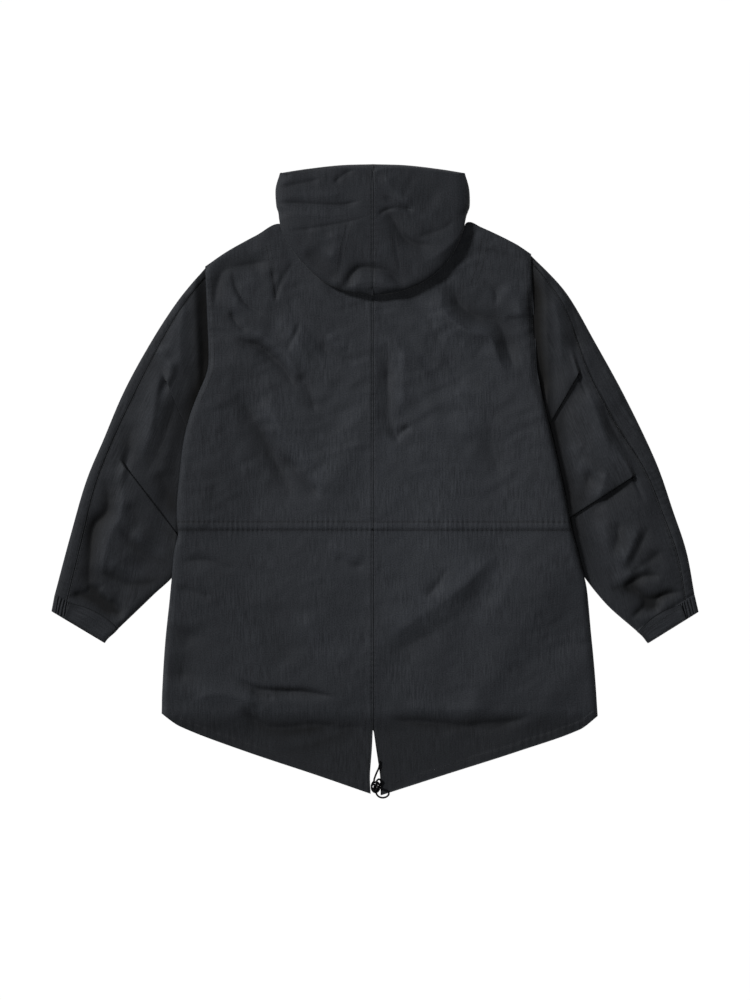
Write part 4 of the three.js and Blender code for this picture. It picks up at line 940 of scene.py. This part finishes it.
def hood_half(hand, shape):
    """Each rung runs over the top from the centre seam, round the fold and back beneath."""
    rungs = np.array(HOOD_RUNGS)
    if shape["side"] > 0:
        rungs[:, 1] += rungs[:, 7]
    top_height = through(HOOD_HEIGHT)
    numbers = np.arange(len(rungs))
    i = np.linspace(0, len(rungs) - 1, 150)

    def straight(k):
        return np.interp(i, numbers, rungs[:, k])[:, None]

    spine_y, end_x, end_y = straight(0), straight(3), straight(4)
    edge_x, edge_y = column(rungs, 1)(i)[:, None], column(rungs, 2)(i)[:, None]
    edge_z, on_yoke = straight(5), straight(6)
    seam_x = SEAM_X
    reach = np.hypot(edge_x, edge_y - spine_y)
    band = np.minimum(HOOD["edge"], 0.9 * reach) / reach
    flat = np.linspace(0, 1, 56)[None, :-1] * (1 - band)
    roll = 1 - band * (1 - np.linspace(0, 1, 20)[None, :] ** 0.6)
    t = np.hstack([flat, roll])
    x = seam_x + shape["side"] * edge_x * t
    y = mix(spine_y, edge_y, t)
    from_edge = reach * (1 - t)
    from_seam = np.abs(x - seam_x)
    height = top_height(y) * (1 - 0.2 * ((x - seam_x) / NECK_X) ** 2)
    folds = crease_height("hood", HOOD_CREASES, x, y)
    height += folds + 0.6 * lying_loose(x, y, 81)
    height += puckers(y, from_seam, 10, 7, 0.4, 83) - 0.8 * np.exp(-((from_seam / 1.7) ** 2))
    z = mix(edge_z, np.minimum(height, 37), rolled(from_edge, HOOD["edge"]))
    under_reach = np.hypot(end_x - edge_x, end_y - edge_y)
    under_band = np.minimum(HOOD["under"], 0.7 * under_reach)
    near = under_band / under_reach * np.linspace(0, 1, 12)[None, 1:] ** 1.6
    u = np.hstack([near, mix(under_band / under_reach, 1, np.linspace(0, 1, 22)[None, 1:])])
    ux = seam_x + shape["side"] * mix(edge_x, end_x, u)
    uy = mix(edge_y, end_y, u)
    rest = on_yoke * (plain_back_height(ux, uy) + LAYER_GAP + 0.6)
    uz = mix(edge_z, rest, rolled(u * under_reach, under_band))
    # Painted shade in the hood's creases, and dark lines along its centre seam.
    tone = crease_shade(folds) - SEAM_TONE * np.exp(-((from_seam / 1.3) ** 2))
    tone = np.hstack([tone, np.zeros(ux.shape)])
    points = np.stack([np.hstack([x, ux]), np.hstack([y, uy]), np.hstack([z, uz])], axis=2)
    return cloth_wall(f"hood_{hand}_cloth", points, CLOTH, 1, keep_side(shape, 0), tone=tone, upright_seam=False)


def route_curve(name, route, radius):
    """A cord as one open spline along its route."""
    lifted = np.array(route) + (0, 0, radius - CORD_RADIUS)
    points = curve_through(lifted, 1.6) * MM
    data = bpy.data.curves.new(name, "CURVE")
    data.dimensions = "3D"
    data.bevel_depth = radius * MM
    data.bevel_resolution = 3
    data.use_fill_caps = True
    spline = data.splines.new("POLY")
    spline.points.add(len(points) - 1)
    spline.points.foreach_set("co", np.column_stack([points, np.ones(len(points))]).ravel())
    piece = bpy.data.objects.new(name, data)
    bpy.context.scene.collection.objects.link(piece)
    length = float(np.linalg.norm(np.diff(points, axis=0), axis=1).sum())
    return piece, length


def tube(name, route, radius, sides=10, spacing=0.7):
    """A closed round tube of mesh along a route."""
    path = curve_through(route, spacing)
    along = np.gradient(path, axis=0)
    along /= np.linalg.norm(along, axis=1, keepdims=True)
    across = np.cross(along[0], (0.31, 0.17, 0.93))
    rings = []
    for point, ahead in zip(path, along):
        across = across - ahead * np.dot(across, ahead)
        across /= np.linalg.norm(across)
        other = np.cross(ahead, across)
        turn = np.linspace(0, 2 * math.pi, sides, endpoint=False)[:, None]
        rings.append(point + radius * (np.cos(turn) * across + np.sin(turn) * other))
    rings = np.array(rings)
    rows = len(path)
    index = np.arange(rows * sides).reshape(rows, sides)
    index = np.column_stack([index, index[:, 0]])
    body = grid_faces(index, True)
    caps = np.array([[rows * sides, index[0, k], index[0, k + 1]] for k in range(sides)]
                    + [[rows * sides + 1, index[-1, k + 1], index[-1, k]] for k in range(sides)])
    faces = [*body.tolist(), *caps.tolist()]
    return np.vstack([rings.reshape(-1, 3), path[:1], path[-1:]]), faces


def camera():
    """Straight above, with a long lens, on the middle of the view."""
    data = bpy.data.cameras.new("camera")
    data.lens = 135
    data.sensor_width = 36
    seen = bpy.data.objects.new("camera", data)
    bpy.context.scene.collection.objects.link(seen)
    view_height = 1000 * STEP * MM
    away = view_height * data.lens / data.sensor_width
    seen.location = (0, (ZERO_ROW - 500) * STEP * MM, away + 0.012)
    seen.rotation_euler = (0, 0, 0)
    data.clip_end = 30
    bpy.context.scene.camera = seen


def area_light(name, place, size, power, colour=(1, 1, 1)):
    data = bpy.data.lights.new(name, "AREA")
    data.shape = "DISK"
    data.size = size
    data.energy = power
    data.color = colour
    lamp = bpy.data.objects.new(name, data)
    lamp.location = place
    bpy.context.scene.collection.objects.link(lamp)


def lights():
    """A broad soft light from the upper left, a nearer one over the middle and a little from all round."""
    sun = bpy.data.lights.new("key", "SUN")
    sun.energy = 2.95
    sun.angle = math.radians(10)
    key = bpy.data.objects.new("key", sun)
    key.rotation_euler = Vector((-0.68, 0.48, 0.55)).to_track_quat("Z", "Y").to_euler()
    bpy.context.scene.collection.objects.link(key)
    area_light("overhead", (0.03, 0.05, 0.9), 0.4, 1.65)
    world = bpy.data.worlds.new("world")
    world.use_nodes = True
    world.node_tree.nodes["Background"].inputs["Color"].default_value = (1, 1, 1, 1)
    world.node_tree.nodes["Background"].inputs["Strength"].default_value = 0.05
    bpy.context.scene.world = world
    bpy.context.scene.view_settings.view_transform = "Standard"


class Nodes:
    """Short ways to add and join the nodes of a tree."""

    def __init__(self, tree):
        self.tree = tree

    def add(self, kind, inputs=None, **settings):
        node = self.tree.nodes.new(kind)
        for name, value in settings.items():
            setattr(node, name, value)
        for name, value in (inputs or {}).items():
            socket = node.inputs[name]
            if isinstance(value, bpy.types.NodeSocket):
                self.tree.links.new(value, socket)
            else:
                socket.default_value = value
        return node


def woven_group():
    """Puts out a height and a streak mask for fine upright ribs crossed by fainter weft lines."""
    tree = bpy.data.node_groups.new("woven_rib", "ShaderNodeTree")
    tree.interface.new_socket("Grain", in_out="INPUT", socket_type="NodeSocketVector")
    tree.interface.new_socket("Height", in_out="OUTPUT", socket_type="NodeSocketFloat")
    tree.interface.new_socket("Streak", in_out="OUTPUT", socket_type="NodeSocketFloat")
    tree.interface.new_socket("Dents", in_out="OUTPUT", socket_type="NodeSocketFloat")
    add = Nodes(tree).add
    given = add("NodeGroupInput").outputs["Grain"]
    ribs = add("ShaderNodeVectorMath", {0: given, 1: (900, 60, 1)}, operation="MULTIPLY").outputs[0]
    rib = add("ShaderNodeTexNoise", {"Vector": ribs, "Scale": 1.0, "Detail": 2.0, "Roughness": 0.6}).outputs["Fac"]
    wefts = add("ShaderNodeVectorMath", {0: given, 1: (70, 1100, 1)}, operation="MULTIPLY").outputs[0]
    weft = add("ShaderNodeTexNoise", {"Vector": wefts, "Scale": 1.0, "Detail": 2.0}).outputs["Fac"]
    both = add("ShaderNodeMath", {0: weft, 1: 0.45}, operation="MULTIPLY").outputs[0]
    height = add("ShaderNodeMath", {0: rib, 1: both}, operation="ADD").outputs[0]
    bands = add("ShaderNodeVectorMath", {0: given, 1: (430, 34, 1)}, operation="MULTIPLY").outputs[0]
    band = add("ShaderNodeTexNoise", {"Vector": bands, "Scale": 1.0, "Detail": 2.0, "Roughness": 0.6}).outputs["Fac"]
    patch = add("ShaderNodeTexNoise", {"Vector": given, "Scale": 13.0, "Detail": 2.0}).outputs["Fac"]
    strength = add("ShaderNodeMapRange", {"Value": patch, "From Min": 0.4, "From Max": 0.62, "To Min": 0.35, "To Max": 1.3})
    banded = add("ShaderNodeMath", {0: band, 1: 0.5}, operation="SUBTRACT").outputs[0]
    banded = add("ShaderNodeMath", {0: banded, 1: strength.outputs[0]}, operation="MULTIPLY").outputs[0]
    speck = add("ShaderNodeTexNoise", {"Vector": given, "Scale": 560.0, "Detail": 1.0}).outputs["Fac"]
    specked = add("ShaderNodeMath", {0: speck, 1: banded}, operation="ADD").outputs[0]
    streak = add("ShaderNodeMapRange", {"Value": specked, "From Min": 0.28, "From Max": 0.72}).outputs["Result"]
    dents = add("ShaderNodeTexNoise", {"Vector": given, "Scale": 70.0, "Detail": 4.0, "Roughness": 0.55}).outputs["Fac"]
    out = add("NodeGroupOutput")
    tree.links.new(height, out.inputs["Height"])
    tree.links.new(streak, out.inputs["Streak"])
    tree.links.new(dents, out.inputs["Dents"])
    return tree


def cloth_material(name, dark, light, woven):
    material = bpy.data.materials.new(name)
    material.use_nodes = True
    tree = material.node_tree
    add = Nodes(tree).add
    shader = tree.nodes["Principled BSDF"]
    shader.inputs["Roughness"].default_value = 0.72
    shader.inputs["Specular IOR Level"].default_value = 0.22
    shader.inputs["Sheen Weight"].default_value = 0.10
    shader.inputs["Sheen Roughness"].default_value = 0.45
    grain = add("ShaderNodeUVMap", uv_map="grain").outputs["UV"]
    weave = add("ShaderNodeGroup", node_tree=woven)
    tree.links.new(grain, weave.inputs["Grain"])
    colour = add("ShaderNodeMix", {"Factor": weave.outputs["Streak"]}, data_type="RGBA")
    colour.inputs[6].default_value = (*dark, 1)
    colour.inputs[7].default_value = (*light, 1)
    # The tone attribute scales the colour: it carries the painted light and shade and the dark seam lines.
    tone = add("ShaderNodeAttribute", attribute_name="tone").outputs["Fac"]
    shade = add("ShaderNodeMath", {0: tone, 1: 1.0}, operation="ADD").outputs[0]
    toned = add("ShaderNodeVectorMath", {0: colour.outputs[2]}, operation="SCALE")
    tree.links.new(shade, toned.inputs["Scale"])
    tree.links.new(toned.outputs[0], shader.inputs["Base Color"])
    dents = add("ShaderNodeBump", {"Height": weave.outputs["Dents"], "Strength": 0.25, "Distance": 0.0012})
    bump = add("ShaderNodeBump", {"Height": weave.outputs["Height"], "Strength": 0.5, "Distance": 0.0004})
    tree.links.new(dents.outputs["Normal"], bump.inputs["Normal"])
    tree.links.new(bump.outputs["Normal"], shader.inputs["Normal"])
    return material


def thread_material():
    material = bpy.data.materials.new("thread")
    material.use_nodes = True
    tree = material.node_tree
    add = Nodes(tree).add
    shader = tree.nodes["Principled BSDF"]
    shader.inputs["Roughness"].default_value = 0.6
    place = add("ShaderNodeTexCoord").outputs["Object"]
    twist = add("ShaderNodeTexNoise", {"Vector": place, "Scale": 900.0, "Detail": 1.0}).outputs["Fac"]
    colour = add("ShaderNodeMix", {"Factor": twist}, data_type="RGBA")
    colour.inputs[6].default_value = (0.005, 0.006, 0.007, 1)
    colour.inputs[7].default_value = (0.014, 0.015, 0.018, 1)
    tree.links.new(colour.outputs[2], shader.inputs["Base Color"])
    return material


def cord_material():
    """Black braid: two sets of slanted yarns across the cord."""
    material = bpy.data.materials.new("cord_braid")
    material.use_nodes = True
    tree = material.node_tree
    add = Nodes(tree).add
    shader = tree.nodes["Principled BSDF"]
    shader.inputs["Roughness"].default_value = 0.9
    shader.inputs["Specular IOR Level"].default_value = 0.05
    place = add("ShaderNodeTexCoord").outputs["Object"]
    yarn = add("ShaderNodeTexWave", {"Vector": place, "Scale": 900.0, "Distortion": 3.0}, bands_direction="DIAGONAL")
    colour = add("ShaderNodeMix", {"Factor": yarn.outputs["Fac"]}, data_type="RGBA")
    colour.inputs[6].default_value = (0.003, 0.003, 0.0035, 1)
    colour.inputs[7].default_value = (0.012, 0.012, 0.014, 1)
    tree.links.new(colour.outputs[2], shader.inputs["Base Color"])
    bump = add("ShaderNodeBump", {"Height": yarn.outputs["Fac"], "Strength": 0.5, "Distance": 0.0002})
    tree.links.new(bump.outputs["Normal"], shader.inputs["Normal"])
    return material


def floor():
    mesh = bpy.data.meshes.new("floor")
    half = 40.0
    corners = [(-half, -half, 0), (half, -half, 0), (half, half, 0), (-half, half, 0)]
    mesh.from_pydata(corners, [], [(0, 1, 2, 3)])
    plane = bpy.data.objects.new("floor", mesh)
    plane.location.z = -0.0004
    bpy.context.scene.collection.objects.link(plane)
    material = bpy.data.materials.new("floor_white")
    material.use_nodes = True
    shader = material.node_tree.nodes["Principled BSDF"]
    shader.inputs["Base Color"].default_value = (0.02, 0.02, 0.02, 1)
    shader.inputs["Roughness"].default_value = 1.0
    shader.inputs["Specular IOR Level"].default_value = 0.0
    shader.inputs["Emission Color"].default_value = (1, 1, 1, 1)
    shader.inputs["Emission Strength"].default_value = 1.0
    mesh.materials.append(material)
    plane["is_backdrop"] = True


def stitch_tree(thread):
    """Sets a short thread on every point, turned along the seam and up from the cloth."""
    tree = bpy.data.node_groups.new("stitch_row", "GeometryNodeTree")
    tree.interface.new_socket("Geometry", in_out="INPUT", socket_type="NodeSocketGeometry")
    tree.interface.new_socket("Length", in_out="INPUT", socket_type="NodeSocketFloat")
    tree.interface.new_socket("Thickness", in_out="INPUT", socket_type="NodeSocketFloat")
    tree.interface.new_socket("Seed", in_out="INPUT", socket_type="NodeSocketInt")
    tree.interface.new_socket("Geometry", in_out="OUTPUT", socket_type="NodeSocketGeometry")
    nodes = Nodes(tree)
    add = nodes.add
    given = add("NodeGroupInput")
    along = add("GeometryNodeInputNamedAttribute", {"Name": "along"}, data_type="FLOAT_VECTOR").outputs["Attribute"]
    up = add("GeometryNodeInputNamedAttribute", {"Name": "up"}, data_type="FLOAT_VECTOR").outputs["Attribute"]
    first = add("FunctionNodeAlignRotationToVector", {"Vector": along}, axis="X")
    second = add("FunctionNodeAlignRotationToVector", {"Vector": up, "Rotation": first.outputs[0]}, axis="Z", pivot_axis="X")
    stitch = add("GeometryNodeMeshUVSphere", {"Segments": 6, "Rings": 4, "Radius": 0.5})
    long = add("FunctionNodeRandomValue", {2: 0.92, 3: 1.08, "Seed": given.outputs["Seed"]}, data_type="FLOAT")
    reach = add("ShaderNodeMath", {0: given.outputs["Length"], 1: long.outputs[1]}, operation="MULTIPLY").outputs[0]
    size = add("ShaderNodeCombineXYZ", {"X": reach, "Y": given.outputs["Thickness"], "Z": given.outputs["Thickness"]})
    placed = add("GeometryNodeInstanceOnPoints", {
        "Points": given.outputs["Geometry"],
        "Instance": stitch.outputs["Mesh"],
        "Rotation": second.outputs[0],
        "Scale": size.outputs[0],
    })
    real = add("GeometryNodeRealizeInstances", {"Geometry": placed.outputs["Instances"]})
    dressed = add("GeometryNodeSetMaterial", {"Geometry": real.outputs[0], "Material": thread})
    out = add("NodeGroupOutput")
    tree.links.new(dressed.outputs[0], out.inputs["Geometry"])
    return tree


def stitches(name, rows, tree, pitch=3.0, thickness=0.65):
    """Rows of stitches as one plain mesh. Each row is a piece, a route and where it is seen from (1 is above)."""
    places, alongs, ups = [], [], []
    trees = {}
    for piece, route, above in rows:
        if piece.name not in trees:
            mesh = piece.data
            trees[piece.name] = BVHTree.FromPolygons(
                [v.co for v in mesh.vertices], [tuple(p.vertices) for p in mesh.polygons]
            )
        path = curve_through(route, pitch) * MM
        found = []
        for x, y in path:
            hit, normal, _, _ = trees[piece.name].ray_cast(Vector((x, y, 0.2 * above)), Vector((0, 0, -above)))
            found.append(None if hit is None else (np.array(hit), np.array(normal)))
        for a, b in zip(found[:-1], found[1:]):
            if a is None or b is None or np.linalg.norm(a[0] - b[0]) > 2.2 * pitch * MM:
                continue
            middle = (a[0] + b[0]) / 2 + (a[1] + b[1]) / 2 * 0.1 * MM
            places.append(middle)
            alongs.append((b[0] - a[0]) / np.linalg.norm(b[0] - a[0]))
            ups.append((a[1] + b[1]) / 2)
    mesh = bpy.data.meshes.new(name + "_points")
    mesh.from_pydata([tuple(p) for p in places], [], [])
    for label, values in (("along", alongs), ("up", ups)):
        layer = mesh.attributes.new(label, "FLOAT_VECTOR", "POINT")
        layer.data.foreach_set("vector", np.array(values, np.float32).ravel())
    maker = bpy.data.objects.new(name + "_points", mesh)
    bpy.context.scene.collection.objects.link(maker)
    modifier = maker.modifiers.new("stitches", "NODES")
    modifier.node_group = tree
    values = {"Length": pitch * 0.86 * MM, "Thickness": thickness * MM, "Seed": 7}
    for item in tree.interface.items_tree:
        if item.item_type == "SOCKET" and item.in_out == "INPUT" and item.name in values:
            modifier[item.identifier] = values[item.name]
    shown = maker.evaluated_get(bpy.context.evaluated_depsgraph_get())
    plain = bpy.data.meshes.new_from_object(shown)
    plain.name = name
    bpy.data.objects.remove(maker)
    bpy.data.meshes.remove(mesh)
    plain.polygons.foreach_set("use_smooth", np.ones(len(plain.polygons), bool))
    piece = bpy.data.objects.new(name, plain)
    bpy.context.scene.collection.objects.link(piece)
    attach(piece, "root")
    return piece


def beside(route, offset):
    """A route moved sideways, to the right for a positive offset."""
    ahead = np.gradient(route, axis=0)
    ahead /= np.linalg.norm(ahead, axis=1, keepdims=True)
    return route + offset * np.column_stack([ahead[:, 1], -ahead[:, 0]])


def body_stitch_rows(pieces):
    rows = []
    for hand, shape in SHAPES.items():
        back = pieces[f"back_{hand}"]
        side = shape["side"]
        seam = np.array([(SEAM_X + side * 3.4, y) for y in np.linspace(300, -396, 60)])
        rows.append((back, seam, 1))
        for level in (WAIST_TOP, WAIST_BOTTOM):
            end = through(shape["back_side"])(level)
            rows.append((back, np.array([(x, level) for x in np.linspace(SEAM_X + side * 5, end - side * 4, 40)]), 1))
        armhole = np.array([(through(shape["back_side"])(y), y) for y in np.linspace(shape["armhole_y"] - 12, 125, 30)])
        for offset in (3.5, 9.5):
            rows.append((back, armhole - (side * offset, 0), 1))
        hem = np.array([(x, through(shape["hem"])(x)) for x in np.linspace(shape["hem"][0][0] + side * 12, shape["hem"][-1][0] - side * 8, 50)])
        rows.append((back, hem + (0, 13.5), 1))
        vent = np.array([(through(shape["vent"])(y), y) for y in np.linspace(-402, -486, 12)])
        rows.append((back, vent + (side * 4.5, 0), 1))
        rows.append((back, vent + (side * 24, 4), 1))
        sleeve_seam = []
        width, place, seam_at = sleeve_frame(shape)
        for v in np.linspace(0.12, LAST_RUNG - 0.06, 60):
            sleeve_seam.append(place(seam_at(v) + 3.4, v))
        inner = pieces[f"sleeve_{hand}_inner"]
        rows.append((inner, np.array(sleeve_seam), 1))
        rows.append((inner, beside(np.array(sleeve_seam), -side * 4.8), 1))
        tack_x = SEAM_X + side * 12
        tack = [(SEAM_X + side, -382), (tack_x, -382), (tack_x, -400), (SEAM_X + side, -400)]
        rows.extend((back, np.array(part), 1) for part in zip(tack[:-1], tack[1:]))
        front = pieces[f"front_{hand}"]
        rows.append((front, np.array([(SEAM_X + side * x, FRONT_HEM + 12) for x in np.linspace(34, 330, 40)]), -1))
        rows.append((front, np.array([(SEAM_X + side * 40, y) for y in np.linspace(340, -370, 60)]), -1))
    darts = {
        "left": [[(266, 245), (270, 268), (275, 300)], [(270, 244), (274, 267), (279, 298)]],
        "right": [[(482, 238), (478, 262), (470, 285)], [(487, 239), (483, 263), (475, 286)]],
    }
    for hand, routes in darts.items():
        rows.extend((pieces[f"back_{hand}"], in_place(route), 1) for route in routes)
    flap = pieces["front_placket"]
    for edge in (-1, 1):
        line = [(SEAM_X + edge * (PLACKET["width"] / 2 - 7), y) for y in np.linspace(350, -367, 60)]
        rows.append((flap, np.array(line), -1))
    return rows


def hood_stitch_rows(pieces):
    routes = {
        "left": [[(347, 225), (342, 241), (338, 262), (336, 279)], [(352, 226), (347, 242), (343, 262), (341, 280)]],
        "right": [[(391, 235), (394, 255), (398, 276)], [(396, 234), (399, 254), (403, 275)]],
    }
    rows = []
    for hand, pair in routes.items():
        piece = pieces[f"hood_{hand}"]
        rows.extend((piece, in_place(route), 1) for route in pair)
        side = SHAPES[hand]["side"]
        rows.append((piece, np.array([(SEAM_X + side * 4.0, y) for y in np.linspace(494, 306, 40)]), 1))
    return rows


def cuff_stitch_rows(pieces):
    rows = []
    for hand, shape in SHAPES.items():
        at = cuff_section(shape)
        tab = pieces[f"cuff_tab_{hand}"]
        for t in (0.17, 0.86):
            section, wide = at(t)
            ends = [mix(section[0], section[1], s / wide) for s in (TAB["start"] + 3, wide - 6)]
            rows.append((tab, np.linspace(ends[0], ends[1], 12), 1))
    return rows


def knot():
    """An overhand knot pulled snug, with the loop's two ends going into it."""
    routes = [
        [(-1.8, -482.9, 4.4), (-4.4, -486.2, 5.2), (-5.4, -491.0, 5.6), (-3.2, -495.8, 5.2), (1.6, -497.4, 4.8),
         (5.8, -494.4, 4.6), (7.0, -489.6, 4.8), (5.4, -485.2, 5.0), (1.4, -483.8, 4.2), (-3.2, -486.0, 3.4),
         (-5.2, -490.6, 3.0), (-4.6, -496.4, 2.8), (-0.4, -500.4, 2.8), (4.4, -499.0, 3.4), (7.2, -493.8, 3.8),
         (6.2, -488.2, 2.6), (3.0, -487.0, 5.8), (-0.8, -490.2, 7.0), (-1.6, -494.2, 6.6), (0.2, -497.2, 4.6),
         (1.4, -498.5, 3.2)],
        [(8.7, -493.2, 3.6), (5.2, -491.8, 6.2), (2.0, -488.8, 7.2), (-1.6, -487.6, 6.6), (-4.6, -489.0, 4.2),
         (-5.2, -493.2, 3.4), (-1.6, -497.8, 3.8), (2.8, -495.2, 6.4), (4.4, -491.2, 3.0), (1.2, -489.6, 2.4)],
        [(0.6, -491.6, 4.4), (2.0, -486.4, 5.6), (3.0, -481.8, 5.4), (5.8, -479.4, 4.8), (8.8, -480.6, 4.4),
         (9.6, -484.6, 4.2), (8.0, -488.8, 4.2), (4.6, -492.6, 4.8), (1.0, -493.6, 5.4), (-2.2, -491.4, 4.6)],
    ]
    vertices, faces = [], []
    for route in routes:
        points, tube_faces = tube("knot", route, KNOT_RADIUS)
        start = sum(len(v) for v in vertices)
        faces.extend([[start + k for k in face] for face in tube_faces])
        vertices.append(points)
    mesh = bpy.data.meshes.new("hem_knot_tied")
    mesh.from_pydata((np.vstack(vertices) * MM).tolist(), [], faces)
    mesh.polygons.foreach_set("use_smooth", np.ones(len(faces), bool))
    piece = bpy.data.objects.new("hem_knot_tied", mesh)
    bpy.context.scene.collection.objects.link(piece)
    return piece


def dress(piece, node, material):
    piece.data.materials.append(material)
    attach(piece, "root")
    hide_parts(node)


camera()
braid = cord_material()
knotted = knot()
dress(knotted, "hem_knot", braid)
for label, route, far_end in (("strand", STRAND_ROUTE, "knot"), ("loop", LOOP_ROUTE, "knot")):
    line, length = route_curve(f"hem_cord_{label}_braid", route, BRAID_RADIUS)
    dress(line, f"hem_cord_{label}", braid)
    exit_at = tuple(float(c) for c in (np.array(route[0]) + (0, 0, BRAID_RADIUS - CORD_RADIUS)) * MM)
lights()
floor()

woven = woven_group()
shell = cloth_material("shell_cloth", (0.0150, 0.0169, 0.0210), (0.0335, 0.0371, 0.0440), woven)
# Painted shade: a darker copy of the shell cloth for the hood, as it lies farther from the light over the middle.
shaded_hood_shell = cloth_material("hood_cloth", (0.0112, 0.0127, 0.0160), (0.0252, 0.0280, 0.0338), woven)
pieces = {}
for hand, shape in SHAPES.items():
    pieces[f"back_{hand}"] = back_panel(hand, shape)
    pieces[f"front_{hand}"] = front_panel(hand, shape)
    pieces[f"sleeve_{hand}_inner"] = sleeve_inner(hand, shape)
    pieces[f"sleeve_{hand}_outer"] = sleeve_outer(hand, shape)
    pieces[f"cuff_{hand}"] = cuff(hand, shape)
    pieces[f"cuff_tab_{hand}"] = cuff_tab(hand, shape)
    pieces[f"hood_{hand}"] = hood_half(hand, shape)
pieces["front_placket"] = placket_flap()

# Flat cut sizes of each kind of piece, width and length in metres, and how it lies.
CUTS = {
    "back": ((0.36, 0.95), "laid"),
    "front": ((0.37, 0.82), "laid"),
    "sleeve_inner": ((0.26, 0.72), "folded"),
    "sleeve_outer": ((0.30, 0.68), "folded"),
    "cuff": ((0.24, 0.045), "gathered"),
    "cuff_tab": ((0.09, 0.036), "laid"),
    "hood": ((0.32, 0.40), "folded"),
    "front_placket": ((0.062, 0.735), "laid"),
}
for name, piece in pieces.items():
    kind = name.replace("_left", "").replace("_right", "")
    in_hood = kind == "hood"
    dress(piece, name, shaded_hood_shell if in_hood else shell)
    flat, held = CUTS[kind]
    min(piece["cut_area"], flat[0] * flat[1])

thread = thread_material()
tree = stitch_tree(thread)
stitches("shell_stitching", body_stitch_rows(pieces), tree)
stitches("cuff_stitching", cuff_stitch_rows(pieces), tree)
stitches("hood_stitching", hood_stitch_rows(pieces), tree)

[[[float(c) for c in corner] for corner in box] for box in (cad_box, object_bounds())]
